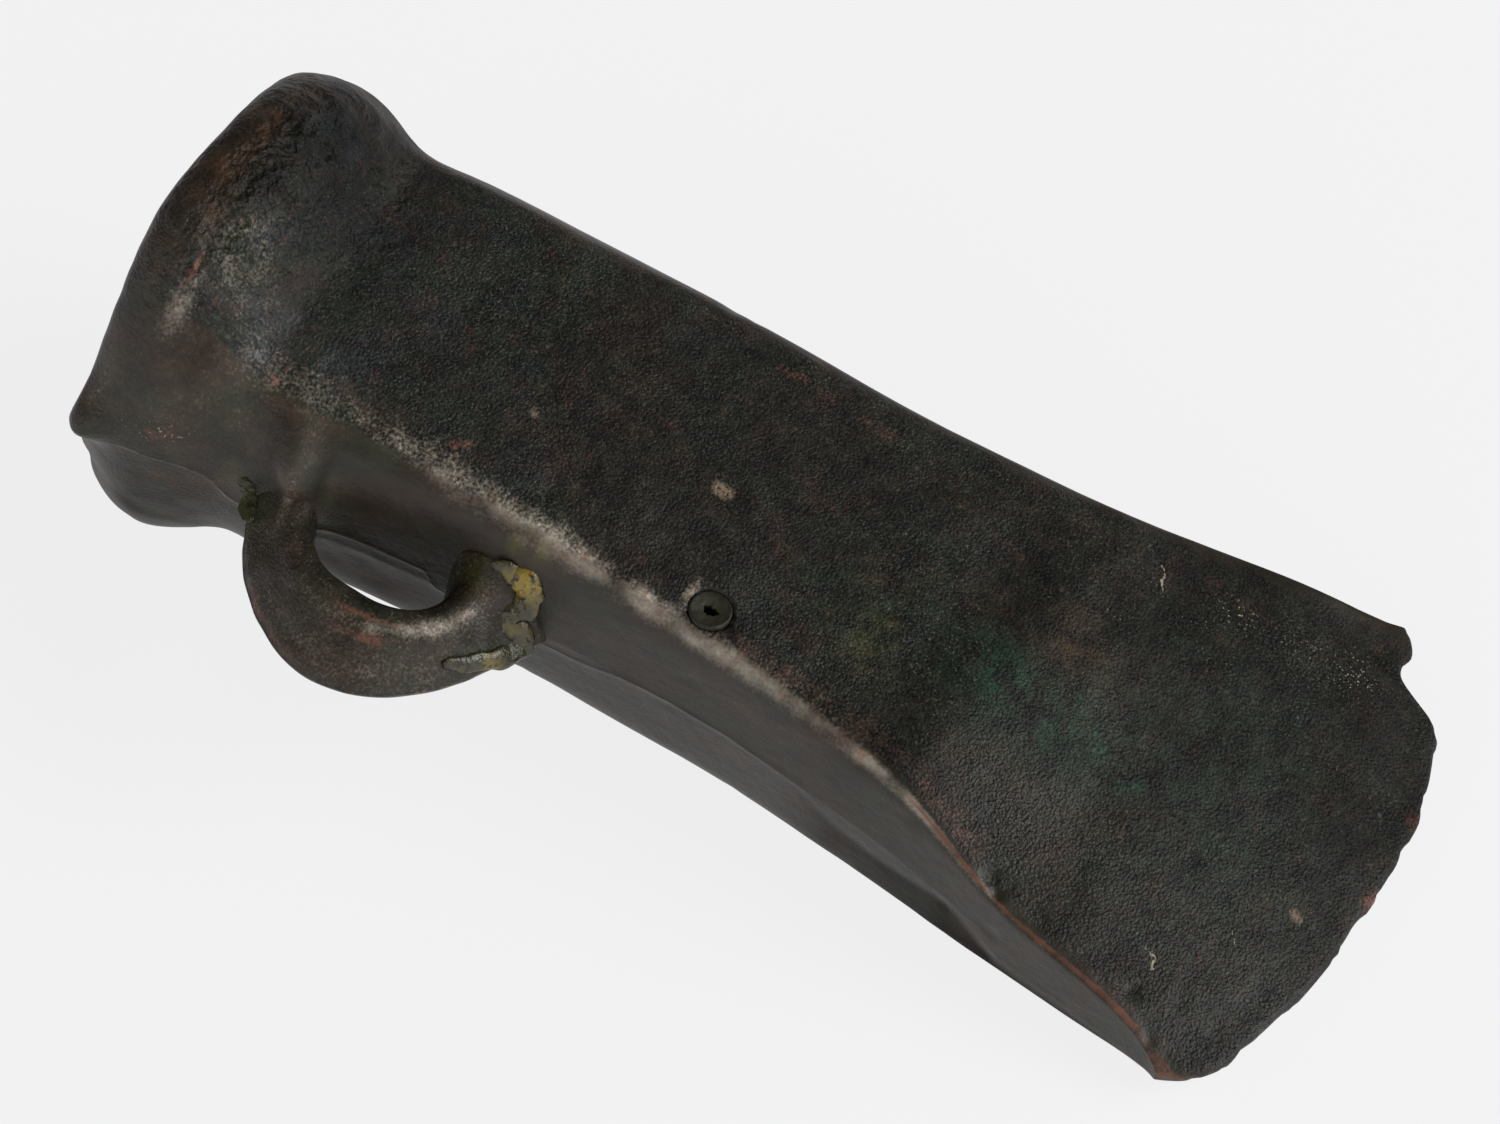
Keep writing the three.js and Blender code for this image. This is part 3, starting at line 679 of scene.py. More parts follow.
# Tin bronze under a thin dark patina of oxides. On the faces it is near black and gritty, on the
# rubbed sides a satin grey brown, with copper brown at the edges and malachite in one patch.
FACE_BLACK = "#201e19"
FACE_GREEN = "#1c2019"
FACE_BLUE = "#1b1e21"
FACE_BROWN = "#2a2019"
DEEP_RED = "#44231f"
SIDE_BROWN = "#342a22"
SIDE_OLIVE = "#2c2b22"
WORN_AND_HIGHLIGHT_GREY = "#968d81"
WORN_AND_HIGHLIGHT_PINK = "#8c7566"
WARM_GRAIN = "#493b2f"
GREEN_GRAIN = "#313d2e"
RUSSET = "#563a2f"
UMBER = "#45301f"
MALACHITE = "#1b3c2b"
OLIVE_STAIN = "#4c4a22"
PALE_GRAIN_AND_GLINT = "#5f6056"
CHALK = "#b4ab94"
TAN_EARTH = "#8f7c69"
SOCKET_EARTH = "#43382a"
SOCKET_DARK = "#231f19"
SOCKET_GREEN = "#2a3a2c"
BUMP_HEIGHT = 0.2
GRAIN = 0.26
SPECK = 1.1
MOTTLE = 7.0
# The patterns in the patina, each a noise with the size of its lumps in millimetres and its count
# of finer layers. Each is cut at its own whole number of the noise's fourth dimension. The powder
# is finer on real patina and is drawn as coarse as it needs to show.
PATTERNS = {
    "grain": (GRAIN, 1), "grit": (0.9, 2), "powder": (0.2, 0), "speck": (SPECK, 2),
    "mottle": (MOTTLE, 3), "blue": (MOTTLE, 2), "brown": (MOTTLE * 0.7, 4), "red": (MOTTLE * 0.4, 4),
    "side": (MOTTLE * 0.6, 3), "pale": (GRAIN * 0.8, 1), "cluster": (GRAIN * 0.9, 1),
    "pink": (SPECK, 3), "tangle": (2 * SPECK, 6), "streak": (0.7, 3), "crease": (1.7, 3),
    "warm": (GRAIN * 1.4, 2), "moss": (GRAIN * 1.4, 2), "socket": (MOTTLE * 0.5, 4),
}
# The tangle's layers fade more slowly, the streaks are drawn out along the axe, and a scratch
# wavers by a share of this length.
ROUGHNESS, TANGLE_ROUGHNESS = 0.5, 0.72
STREAK_STRETCH = (0.12, 1, 1)
WAVER = 1.6
# Sums of patterns and of the skin's masks, each by its weight
SUMS = {
    "worn_and_highlit": [("rub_and_highlight", 1.0), ("grain", 0.9), ("tangle", 0.4)],
    "coppered": [("tangle", 0.5), ("grain", 0.5), ("russet", 0.9)],
    "gritty": [("tangle", 1.0), ("grain", 0.8)],
    "cloudy": [("tangle", 1.0), ("streak", 0.8)],
    "sandy": [("grain", 0.55), ("grit", 0.15), ("powder", 0.35)],
    "smoother": [("grain", 0.15), ("speck", 0.35), ("streak", 0.15)],
}
# What a pattern, mask or sum gives: from its first to its second figure, it goes from the third to
# the fourth, and stays there on both sides. First the shares of the tints, then shade and shine.
LEVELS = {
    "greenish": ("mottle", 0.42, 0.6, 0, 1), "bluish": ("blue", 0.5, 0.64, 0, 0.9),
    "mouthwards": ("along_axe", 0, -30 * MM, 0, 1), "brownish": ("brown", 0.5, 0.64, 0, 0.7),
    "reddish": ("red", 0.57, 0.68, 0, 0.6), "coarse_grain": ("grain", 0.5, 0.6, 0, 1),
    "warm_grain": ("warm", 0.56, 0.7, 0, 0.5), "green_grain": ("moss", 0.58, 0.7, 0, 0.6),
    "olive_side": ("side", 0.4, 0.62, 0, 1), "earthy": ("tangle", 0.36, 0.56, 0, 1),
    "tangled": ("tangle", 0.36, 0.6, 0, 1), "stained": ("speck", 0.34, 0.5, 0, 1),
    "rubbed_and_highlit": ("worn_and_highlit", 0.9, 1.9, 0, 1), "pinkish": ("pink", 0.54, 0.66, 0, 1),
    "bare_seam": ("seam", 0.2, 0.04, 0, 0.4), "streaky": ("streak", 0.35, 0.6, 0, 1),
    "coppery": ("coppered", 0.75, 1.15, 0, 1), "pale_grain_and_glint": ("pale", 0.61, 0.72, 0, 0.75),
    "pale_area": ("mottle", 0.4, 0.6, 0, 1), "clustered": ("cluster", 0.64, 0.68, 0, 1),
    "dusty": ("grain", 0.3, 0.5, 0, 0.85), "socket_stain": ("socket", 0.52, 0.66, 0, 0.6),
    "gritty_shade": ("gritty", 0.7, 1.1, 0.22, 1.8), "patchy_shade": ("speck", 0.38, 0.62, 0.78, 1.26),
    "cloudy_shade": ("cloudy", 0.7, 1.1, 0.76, 1.27), "darkened_by_crust_and_shade": ("crust_and_painted_shade", 0, 1, 1, 0.55),
    "sheen_lightening": ("rub_and_painted_sheen", 0, 1, 1, 2.2), "plain_rough": ("satin", 0, 1, 0.52, 0.42),
    "gloss": ("crust_and_painted_shade", 0, 1, 0.38, 0.1), "seam_ridge": ("seam", 0.25, 0, 0, 1),
}
CRUST_ROUGH, RUBBED_ROUGH = 0.2, 0.34
CREASE_SHARE, SEAM_SHARE = -12.0, 0.4
# Pale scratches on the upper face, each from one u and v to another, with its width
SCRATCHES = [
    ((77.6, 14.1), (78.3, 13.3), 0.13), ((78.3, 13.3), (78.9, 12.3), 0.10),
    ((92.4, -14.9), (93.1, -15.2), 0.10), ((93.1, -15.2), (93.6, -15.9), 0.15),
    ((76.4, 7.3), (78.0, 7.3), 0.07), ((97.6, -9.6), (98.2, -10.2), 0.07),
]


def patinated_bronze(masks):
    """The patina: tints laid one over another by patterns and by the skin's masks, some of which hold
    painted highlights and shade, then darkened and lightened by its grain, with grains that are
    partly painted glints, scratches and dust on top and a fine relief."""
    material, tree = empty_material("patinated_tin_bronze")
    place = add(tree, "TexCoord", output="Object")
    stretched = add(tree, "VectorMath", {0: place, 1: STREAK_STRETCH}, operation="MULTIPLY")
    value = {name: add(tree, "Attribute", output="Fac", attribute_name=name) for name in masks}
    value["along_axe"] = add(tree, "SeparateXYZ", {0: place}, output="X")
    value["seam"] = add(tree, "Math", {0: value["from_seam"]}, operation="ABSOLUTE")
    for w, (name, (size, layers)) in enumerate(PATTERNS.items()):
        value[name] = add(tree, "TexNoise", {
            "Vector": stretched if name == "streak" else place,
            "W": w, "Scale": 1 / (size * MM), "Detail": layers,
            "Roughness": TANGLE_ROUGHNESS if name == "tangle" else ROUGHNESS,
        }, noise_dimensions="4D")
    for name, parts in SUMS.items():
        value[name] = 0.0
        for part, weight in parts:
            value[name] = add(tree, "Math", {0: value[part], 1: weight, 2: value[name]},
                              operation="MULTIPLY_ADD")
    for name, (source, start, end, first, last) in LEVELS.items():
        value[name] = add(tree, "MapRange", {0: value[source], 1: start, 2: end, 3: first, 4: last})

    # The black of the faces turns bluer towards the mouth, and the narrow sides are browner
    face = layered(tree, linear(FACE_BLACK), [
        (FACE_GREEN, value["greenish"]), (FACE_BLUE, value["bluish"], value["mouthwards"]),
        (FACE_BROWN, value["brownish"]), (DEEP_RED, value["reddish"], value["coarse_grain"]),
        (WARM_GRAIN, value["warm_grain"]), (GREEN_GRAIN, value["green_grain"]),
    ])
    side = layered(tree, linear(SIDE_BROWN), [(SIDE_OLIVE, value["olive_side"])])
    # The rubbed grey serves for bare metal and for painted highlights
    rubbed_and_highlit_metal = layered(tree, linear(WORN_AND_HIGHLIGHT_GREY), [(WORN_AND_HIGHLIGHT_PINK, value["pinkish"])])
    colour = layered(tree, face, [
        (side, value["satin"]), (UMBER, value["umber"], value["earthy"]),
        (MALACHITE, value["green"], value["tangled"]), (OLIVE_STAIN, value["olive"], value["stained"]),
        (rubbed_and_highlit_metal, value["rubbed_and_highlit"], 0.5), (WORN_AND_HIGHLIGHT_GREY, value["bare_seam"], value["streaky"]),
        (RUSSET, value["coppery"]),
    ])

    # The grain darkens and lightens the colour on the faces, and long faint streaks do so on the
    # sides. The crust and its painted shade are darker, and the rub with its painted highlights and
    # sheen is lighter.
    shade = add(tree, "Math", {0: value["gritty_shade"], 1: value["patchy_shade"]}, operation="MULTIPLY")
    shade = add(tree, "Mix", {0: value["sand"], 2: value["cloudy_shade"], 3: shade})
    for name in ("darkened_by_crust_and_shade", "sheen_lightening"):
        shade = add(tree, "Math", {0: shade, 1: value[name]}, operation="MULTIPLY")
    colour = add(tree, "VectorMath", {0: colour, "Scale": shade}, operation="SCALE")

    # Pale specks, and the scratches: a scratch's share is one on a thin wavering line and none off
    # it, by the distance to the line between its ends
    swerve = add(tree, "TexNoise", {"Vector": place, "Scale": 1 / (SPECK * MM), "Detail": 2},
                 output="Color")
    swerve = add(tree, "VectorMath", {0: swerve, 1: (0.5, 0.5, 0.5)}, operation="SUBTRACT")
    wavering = add(tree, "VectorMath", {0: swerve, 1: (WAVER * MM,) * 3, 2: place},
                   operation="MULTIPLY_ADD")
    marks = add(tree, "Math", {0: value["speckled"], 1: value["clustered"]}, operation="MULTIPLY")
    for start, end, width in SCRATCHES:
        first, last = face_point(*start), face_point(*end)
        way = last - first
        measure = way / way.length_squared
        offset = add(tree, "VectorMath", {0: wavering, 1: first}, operation="SUBTRACT")
        done = add(tree, "VectorMath", {0: offset, 1: measure}, output="Value", operation="DOT_PRODUCT")
        held = add(tree, "Clamp", {"Value": done})
        foot = add(tree, "VectorMath", {0: way, "Scale": held}, operation="SCALE")
        gap = add(tree, "VectorMath", {0: offset, 1: foot}, output="Value", operation="DISTANCE")
        mark = add(tree, "MapRange", {0: gap, 1: width * MM, 2: 0.4 * width * MM})
        marks = add(tree, "Math", {0: marks, 1: mark}, operation="MAXIMUM")
    earth = layered(tree, linear(SOCKET_DARK), [
        (SOCKET_EARTH, value["tangled"]), (SOCKET_GREEN, value["socket_stain"]),
    ])
    # The pale grains are partly the patina's own and partly painted glints of light
    colour = layered(tree, colour, [
        (PALE_GRAIN_AND_GLINT, value["sand"], value["pale_area"], value["pale_grain_and_glint"]),
        (TAN_EARTH, value["chalk"], value["dusty"]), (CHALK, marks, 0.8), (earth, value["inside"]),
    ])

    # Rubbed places and their painted highlights are glossier, the crust and its painted shade are
    # duller, and the grain, the dents' creases and the seam stand in relief
    rough = add(tree, "Math", {0: value["crust_and_painted_shade"], 1: CRUST_ROUGH, 2: value["plain_rough"]},
                operation="MULTIPLY_ADD")
    rough = add(tree, "Mix", {0: value["rubbed_and_highlit"], 2: rough, 3: RUBBED_ROUGH})
    crease = add(tree, "Math", {0: value["crease"], 1: 0.5}, operation="SUBTRACT")
    crease = add(tree, "Math", {0: crease}, operation="ABSOLUTE")
    crease = add(tree, "Math", {0: crease, 1: value["dented"]}, operation="MULTIPLY")
    height = add(tree, "Mix", {0: value["sand"], 2: value["smoother"], 3: value["sandy"]})
    for part, weight in ((crease, CREASE_SHARE), (value["seam_ridge"], SEAM_SHARE)):
        height = add(tree, "Math", {0: part, 1: weight, 2: height}, operation="MULTIPLY_ADD")
    bump = add(tree, "Bump", {"Height": height, "Distance": BUMP_HEIGHT * MM, "Strength": 1.0})
    shader = add(tree, "BsdfPrincipled", {
        "Base Color": colour, "Roughness": rough, "Specular IOR Level": value["gloss"], "Normal": bump,
    })
    add(tree, "OutputMaterial", {"Surface": shader})
    return material


# Inside the socket there is no seam, and by the blade the seam's bare line fades
NO_SEAM = 9
bare_line = np.abs(from_seam) + 0.4 * onset(ring_u, 56, 10)
clipped = {
    "rub_and_highlight": rub_and_highlight, "russet": russet, "umber": umber, "green": green, "olive": olive,
    "speckled": speckled, "chalk": chalk, "crust_and_painted_shade": crust_and_painted_shade, "rub_and_painted_sheen": rub_and_painted_sheen,
}
casting_masks = {name: np.clip(values, 0, 1) for name, values in clipped.items()}
casting_masks.update({
    "sand": sand, "satin": satin, "inside": 1 - outside, "dented": dented,
    "from_seam": np.where(outside > 0, bare_line, NO_SEAM),
})
bronze = patinated_bronze(casting_masks)
body = closed_skin("socketed_casting", casting, casting_masks)
body.data.materials.append(bronze)
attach(body, "root")
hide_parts("axe_body")

# The loop is a cast bar bent round an eye on the near narrow side. A lashing held the haft to it.
# It broke off at both feet and was stuck back, so it is a piece of its own.
LOOP_REACH = 9.95
LOOP_THICKNESS = 7.4
NECK_FOOT_THICKNESS = 5.2
BLADE_FOOT_THICKNESS = 5.6
LOOP_WIDTH = 8.2
OUTER_FLARE, INNER_FLARE = 0.9, 0.25
NECK_FOOT_SPREAD, BLADE_FOOT_SPREAD = 2.0, 1.5
FLARE_AT, FLARE_FADE, FLARE_SUNK = 16.25, 1.7, 0.6
FILLET, FILLET_FADE = 2.2, 3.0
INNER_BULGE, BULGE_AT, BULGE_LENGTH = 0.5, 0.58, 0.24
FOOT_TURN = math.pi / 7
FOOT_SUNK = 1.4
LOOP_PROFILE = np.array([
    (1.0, 0.0), (0.92, 0.19), (0.64, 0.42), (0.32, 0.67), (0.0, 0.89), (-0.33, 0.99), (-0.68, 0.9),
    (-0.92, 0.55), (-1.0, 0.0), (-0.92, -0.55), (-0.68, -0.9), (-0.33, -0.99), (0.0, -0.89),
    (0.32, -0.67), (0.64, -0.42), (0.92, -0.19),
])
LOOP_ROWS = 170
LOOP_COLUMNS = 96


def loop_section(turn):
    """The bar's section at a share of its turn: a closed Catmull-Rom curve through the profile."""
    place = (turn % 1) * len(LOOP_PROFILE)
    i = np.floor(place).astype(int)
    x = (place - i)[..., None]
    p0, p1, p2, p3 = (LOOP_PROFILE[(i + k) % len(LOOP_PROFILE)] for k in (-1, 0, 1, 2))
    return 0.5 * (2 * p1 + (p2 - p0) * x + (2 * p0 - 5 * p1 + 4 * p2 - p3) * x ** 2
                  + (3 * p1 - p0 - 3 * p2 + p3) * x ** 3)


def loop_skin(share, turn):
    """The loop's skin: its middle goes round half an ellipse and on into the body, and the bar's
    section stands square to that path. It thins towards both feet by a smoothstep, and where it
    nears the body it flares by an exponential of the distance left."""
    angle = share * math.pi
    across, out = np.cos(angle), -np.sin(angle)
    middle_u = LOOP_AT + across * LOOP_HALF_SPAN
    middle_v = out * LOOP_REACH - WAIST_WIDTH / 2
    middle = np.stack([middle_u, middle_v], axis=-1)
    way = np.stack([across * LOOP_REACH, out * LOOP_HALF_SPAN], axis=-1)
    way /= np.linalg.norm(way, axis=-1, keepdims=True)
    clear = np.maximum(-middle_v - FLARE_AT, -FLARE_SUNK)
    flare = np.exp(-clear / FLARE_FADE)
    fillet = FILLET * np.exp(-clear / FILLET_FADE) * smooth(2 * across)
    inner = np.where(across < 0, INNER_FLARE * flare, fillet)
    inner = inner + INNER_BULGE * bell(share - BULGE_AT, BULGE_LENGTH)
    foot = np.where(across < 0, NECK_FOOT_THICKNESS, BLADE_FOOT_THICKNESS)
    thickness = LOOP_THICKNESS + (foot - LOOP_THICKNESS) * smooth(np.abs(across) / 0.9)
    spread = np.where(across < 0, NECK_FOOT_SPREAD, BLADE_FOOT_SPREAD)
    shape = loop_section(turn)
    half_thick = thickness / 2 + np.where(shape[..., 0] > 0, OUTER_FLARE * flare, inner)
    half_wide = LOOP_WIDTH / 2 + spread * flare
    flat = middle + way * (half_thick * shape[..., 0])[..., None]
    return np.concatenate([flat, (half_wide * shape[..., 1] + LOOP_DROP)[..., None]], axis=-1)


# The loop's skin has soft waves, the mould's joint round its outer side and a scarred crest. Its
# feet are held just under the body's skin.
LOOP_WAVES = [(0.14, 4.5, 41), (0.07, 1.7, 42)]
LOOP_LOSS = 0.1
LOOP_SEAM_HEIGHT, LOOP_SEAM_WIDTH = 0.12, 0.35
SCAR_DEPTH, SCAR_SIZE = 0.4, 1.1
SCARRED = [(1.0, 0.22, 0.27, 0.12, 0.05)]
foot_share = FOOT_TURN / math.pi
loop_share = np.linspace(-foot_share, 1 + foot_share, LOOP_ROWS)[:, None] + np.zeros(LOOP_COLUMNS)
loop_turn = np.arange(LOOP_COLUMNS) / LOOP_COLUMNS + np.zeros((LOOP_ROWS, 1))


def loop_blot(share, turn, length, width):
    """A soft spot on the loop, by its share of the way round the eye and of the turn about the bar."""
    return bell(loop_share - share, length) * bell(loop_turn - turn, width)


plain_loop = loop_skin(loop_share, loop_turn)
loop_wave = sum(height * lumps(plain_loop, size, seed) for height, size, seed in LOOP_WAVES)
loop_relief = loop_wave - LOOP_LOSS
loop_seam = np.minimum(loop_turn, 1 - loop_turn) * 2 * LOOP_WIDTH
loop_relief += LOOP_SEAM_HEIGHT * bell(loop_seam, LOOP_SEAM_WIDTH)
loop_relief -= SCAR_DEPTH * np.abs(lumps(plain_loop, SCAR_SIZE, 52)) * spots(SCARRED, loop_blot)
loop_grid = plain_loop + outward(plain_loop) * loop_relief[..., None]
wall_width = along(STATIONS_AT, CASTING["width"], loop_grid[..., 0])
wall_there = off_axis(loop_grid[..., 0])[0] - wall_width / 2
loop_grid[..., 1] = np.minimum(loop_grid[..., 1], wall_there + FOOT_SUNK)

# Its crest is rubbed grey with a painted highlight laid on it and copper brown beside it. Its
# hollow side, turned away from the light, is darkened as painted shade, and patches of crust lie
# all over it
LOOP_RUBBED_AND_HIGHLIT = [
    (1.15, 0.22, 0.266, 0.12, 0.036), (0.45, 0.46, 0.262, 0.16, 0.028),
    (1.0, 0.95, 0.25, 0.12, 0.04), (0.2, 0.4, 0.1, 0.3, 0.08),
]
LOOP_RUSSET = [
    (0.95, 0.46, 0.295, 0.10, 0.022), (0.95, 0.39, 0.222, 0.13, 0.02),
    (0.9, 0.62, 0.05, 0.12, 0.035), (0.4, 0.8, 0.32, 0.1, 0.03),
]
LOOP_OLIVE = [(0.3, 0.9, 0.1, 0.1, 0.1), (0.6, 0.05, 0.36, 0.06, 0.06)]
LOOP_SAND, LOOP_SPECKLED, LOOP_RUB = 0.45, 0.18, 0.14
loop_torn = 0.75 + 0.6 * lumps(loop_grid, 1.3, 43)
loop_rub_and_highlight = np.clip((LOOP_RUB + spots(LOOP_RUBBED_AND_HIGHLIT, loop_blot)) * loop_torn, 0, 1)
loop_russet = spots(LOOP_RUSSET, loop_blot) + 0.35 * np.clip(lumps(loop_grid, 2.4, 46), 0, 1)
# Painted shade down the bar's inner slope, then patches of crust over the whole loop
loop_shade_and_crust = onset(loop_turn, 0.295, 0.05) * (1 - onset(loop_turn, 0.66, 0.1))
loop_shade_and_crust += 0.6 * lumps(loop_grid, 2.8, 48) + 0.4 * lumps(loop_grid, 1.2, 49) - 0.15
loop = closed_skin("cast_loop", loop_grid, {
    "sand": LOOP_SAND, "satin": 1.0, "rub_and_highlight": loop_rub_and_highlight, "russet": np.clip(loop_russet * loop_torn, 0, 1),
    "umber": 0.0, "green": 0.3 * np.clip(lumps(loop_grid, 3.4, 47), 0, 1),
    "olive": spots(LOOP_OLIVE, loop_blot), "speckled": LOOP_SPECKLED, "chalk": 0.0, "inside": 0.0,
    "from_seam": loop_seam, "dented": 0.0, "rub_and_painted_sheen": loop_rub_and_highlight, "crust_and_painted_shade": np.clip(loop_shade_and_crust, 0, 1),
})
loop.data.materials.append(bronze)
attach(loop, "root")
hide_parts("side_loop")

# The resin is old yellowed glue, glossy and lumpy, that ran round the loop's foot by the blade and
# was left as it set. A little of it, thin and olive, shows at the foot under the collar. Each run
# is given by places u, v and w on the joint and its radius there.
RESIN_ROWS = 110
RESIN_COLUMNS = 32
RESIN_LUMPS = 0.30
RESIN_LUMP_SIZES = 1.5, 0.7
RESIN_OUT = np.array([0.25, -0.75, 0.6])
FOOT_RESIN = np.array([
    (34.9, -16.0, 5.6, 0.55), (35.8, -15.7, 5.9, 0.7), (36.8, -15.5, 5.4, 0.85), (38.0, -15.5, 5.4, 1.0),
    (38.5, -15.6, 4.0, 1.0), (38.2, -16.2, 2.7, 0.9), (37.7, -17.2, 2.2, 1.0), (38.3, -17.4, 1.3, 1.25),
    (39.2, -17.2, 0.2, 1.2), (38.8, -18.6, 0.1, 0.9), (38.1, -20.1, 0.5, 0.8), (37.0, -21.5, 0.8, 0.75),
    (35.4, -23.1, 1.4, 0.7),
])
FOOT_RESIN_FLAT = 0.42
NECK_RESIN = np.array([
    (14.0, -17.8, 1.8, 0.5), (15.0, -18.3, 1.1, 0.7), (15.7, -19.2, 0.7, 0.75), (16.2, -20.3, 0.5, 0.55),
])
NECK_RESIN_FLAT = 0.24


def resin_run(places, flat, seed):
    """A run along places on the joint: a tube whose radius goes to nothing at both ends as a half
    circle does, flattened towards the metal and made lumpy by noise."""
    t = np.linspace(0, 1, RESIN_ROWS)
    knots = np.linspace(0, 1, len(places))
    carried = np.stack([along(knots, places[:, k], t) for k in range(4)], axis=-1)
    path, full = carried[:, :3], carried[:, 3]
    step = np.gradient(path, axis=0)
    step /= np.linalg.norm(step, axis=1, keepdims=True)
    length = np.concatenate([[0], np.cumsum(np.linalg.norm(np.diff(path, axis=0), axis=1))])
    top = RESIN_OUT - step * (step @ RESIN_OUT)[:, None]
    top /= np.linalg.norm(top, axis=1, keepdims=True)
    side = np.cross(step, top)
    end = np.minimum(length, length[-1] - length) / full.max()
    radius = full * np.sqrt(np.clip(1 - (1 - np.clip(end, 0, 1)) ** 2, 0.0004, 1))
    turn = 2 * np.pi * np.arange(RESIN_COLUMNS) / RESIN_COLUMNS
    ring = side[:, None] * np.cos(turn)[:, None] + flat * top[:, None] * np.sin(turn)[:, None]
    tube = path[:, None] + ring * radius[:, None, None]
    coarse, fine = RESIN_LUMP_SIZES
    swell = RESIN_LUMPS * (lumps(tube, coarse, seed) + 0.6 * lumps(tube, fine, seed + 1))
    return tube + ring * (radius[:, None] * swell)[..., None]


def aged_resin(name, fresh, old, darkest):
    """Yellowed resin: clear glue gone amber where it is thick and olive where it is thin, glossy,
    with dust and dirt set into it. The thick attribute tells one from the other."""
    material, tree = empty_material(name)
    place = add(tree, "TexCoord", output="Object")
    thick = add(tree, "Attribute", output="Fac", attribute_name="thick")
    cloud = add(tree, "TexNoise", {"Vector": place, "Scale": 1 / (1.4 * MM), "Detail": 3})
    dirt = add(tree, "TexNoise", {"Vector": place, "Scale": 1 / (0.6 * MM), "Detail": 4})
    amber = add(tree, "Math", {0: cloud, 1: thick}, operation="ADD")
    amber = add(tree, "MapRange", {0: amber, 1: 0.6, 2: 1.35})
    soiled = add(tree, "MapRange", {0: dirt, 1: 0.5, 2: 0.64})
    colour = layered(tree, linear(old), [(fresh, amber), (darkest, soiled)])
    bump = add(tree, "Bump", {"Height": dirt, "Distance": 0.25 * MM, "Strength": 0.8})
    shader = add(tree, "BsdfPrincipled", {
        "Base Color": colour, "Roughness": 0.2, "IOR": 1.55, "Normal": bump,
    })
    add(tree, "OutputMaterial", {"Surface": shader})
    return material


# The foot's run is amber near its start, in a drop near its end and faintly half way
AMBER_AT = [(1.0, 0.24, 0.10), (0.45, 0.84, 0.04), (0.2, 0.55, 0.08)]
run_share = np.linspace(0, 1, RESIN_ROWS)[:, None]
crown = smooth(np.sin(2 * np.pi * np.arange(RESIN_COLUMNS) / RESIN_COLUMNS) * 1.4)
amber_share = sum(strength * bell(run_share - at, length) for strength, at, length in AMBER_AT)
foot_resin = closed_skin("foot_resin_run", resin_run(FOOT_RESIN, FOOT_RESIN_FLAT, 51), {
    "thick": np.clip(amber_share * (0.35 + 0.65 * crown), 0, 1),
})
foot_resin.data.materials.append(aged_resin("yellowed_resin", "#98822f", "#3d3a23", "#29241a"))
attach(foot_resin, "root")
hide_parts("loop_foot_resin")

neck_resin = closed_skin("neck_resin_run", resin_run(NECK_RESIN, NECK_RESIN_FLAT, 61), {
    "thick": 0.3 * crown,
})
neck_resin.data.materials.append(aged_resin("olive_resin", "#504e2e", "#403f26", "#28261b"))
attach(neck_resin, "root")
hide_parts("loop_neck_resin")

# The sampling hole was filled with a toned wax plug, dished at its top, in which a ragged pinhole
# has opened. The plug's line is given by its share of the radius, the pinhole's share of its own,
# and the height, each at places along the line.
PLUG_TOP = 0.08
PLUG_DISH = 0.25
PLUG_BEVEL = 0.12
PINHOLE_LONG, PINHOLE_WIDE, PINHOLE_DEPTH = 0.64, 0.42, 1.4
PLUG_ROWS = 34
PLUG_COLUMNS = 64
PLUG_OUT = [(0, 0.02), (0.1, 1), (0.3, 1), (0.42, 0.93), (0.85, 0), (1, 0)]
PINHOLE_OUT = [(0, 0), (0.42, 0), (0.85, 1), (0.97, 0.9), (1, 0.05)]
PLUG_HEIGHT = [
    (0, -HOLE_DEPTH), (0.1, -HOLE_DEPTH), (0.3, PLUG_TOP - PLUG_BEVEL), (0.42, PLUG_TOP),
    (0.62, PLUG_TOP - PLUG_BEVEL), (0.85, PLUG_TOP - PLUG_DISH), (0.97, PLUG_TOP - PINHOLE_DEPTH),
    (1, PLUG_TOP - PINHOLE_DEPTH),
]
WAX_DARK, WAX_PALE = "#24241c", "#3f3d2c"
# The black down the pinhole is painted shade
WAX_DIRT, PINHOLE_SHADE_BLACK = "#1b1915", "#0b0a08"
plug_share = np.linspace(0, 1, PLUG_ROWS)[:, None]


def plug_grid():
    """A plug turned about its axis: out along its bottom, up its wall, in over the rounded rim and
    the dished top and down the pinhole, whose radius changes round the turn."""
    plug_out, pinhole_out, height = (
        np.interp(plug_share, *np.array(line).T) for line in (PLUG_OUT, PINHOLE_OUT, PLUG_HEIGHT)
    )
    angle = 2 * np.pi * np.arange(PLUG_COLUMNS) / PLUG_COLUMNS
    ragged = 1 + 0.10 * np.sin(3 * angle + 0.7) + 0.10 * np.sin(7 * angle)
    oval = np.hypot(PINHOLE_WIDE * np.cos(angle), PINHOLE_LONG * np.sin(angle))
    pinhole = PINHOLE_LONG * PINHOLE_WIDE / oval * ragged
    radius = plug_out * HOLE_RADIUS + pinhole_out * pinhole
    return np.stack([radius * np.cos(angle), radius * np.sin(angle), height + 0 * radius], axis=-1)


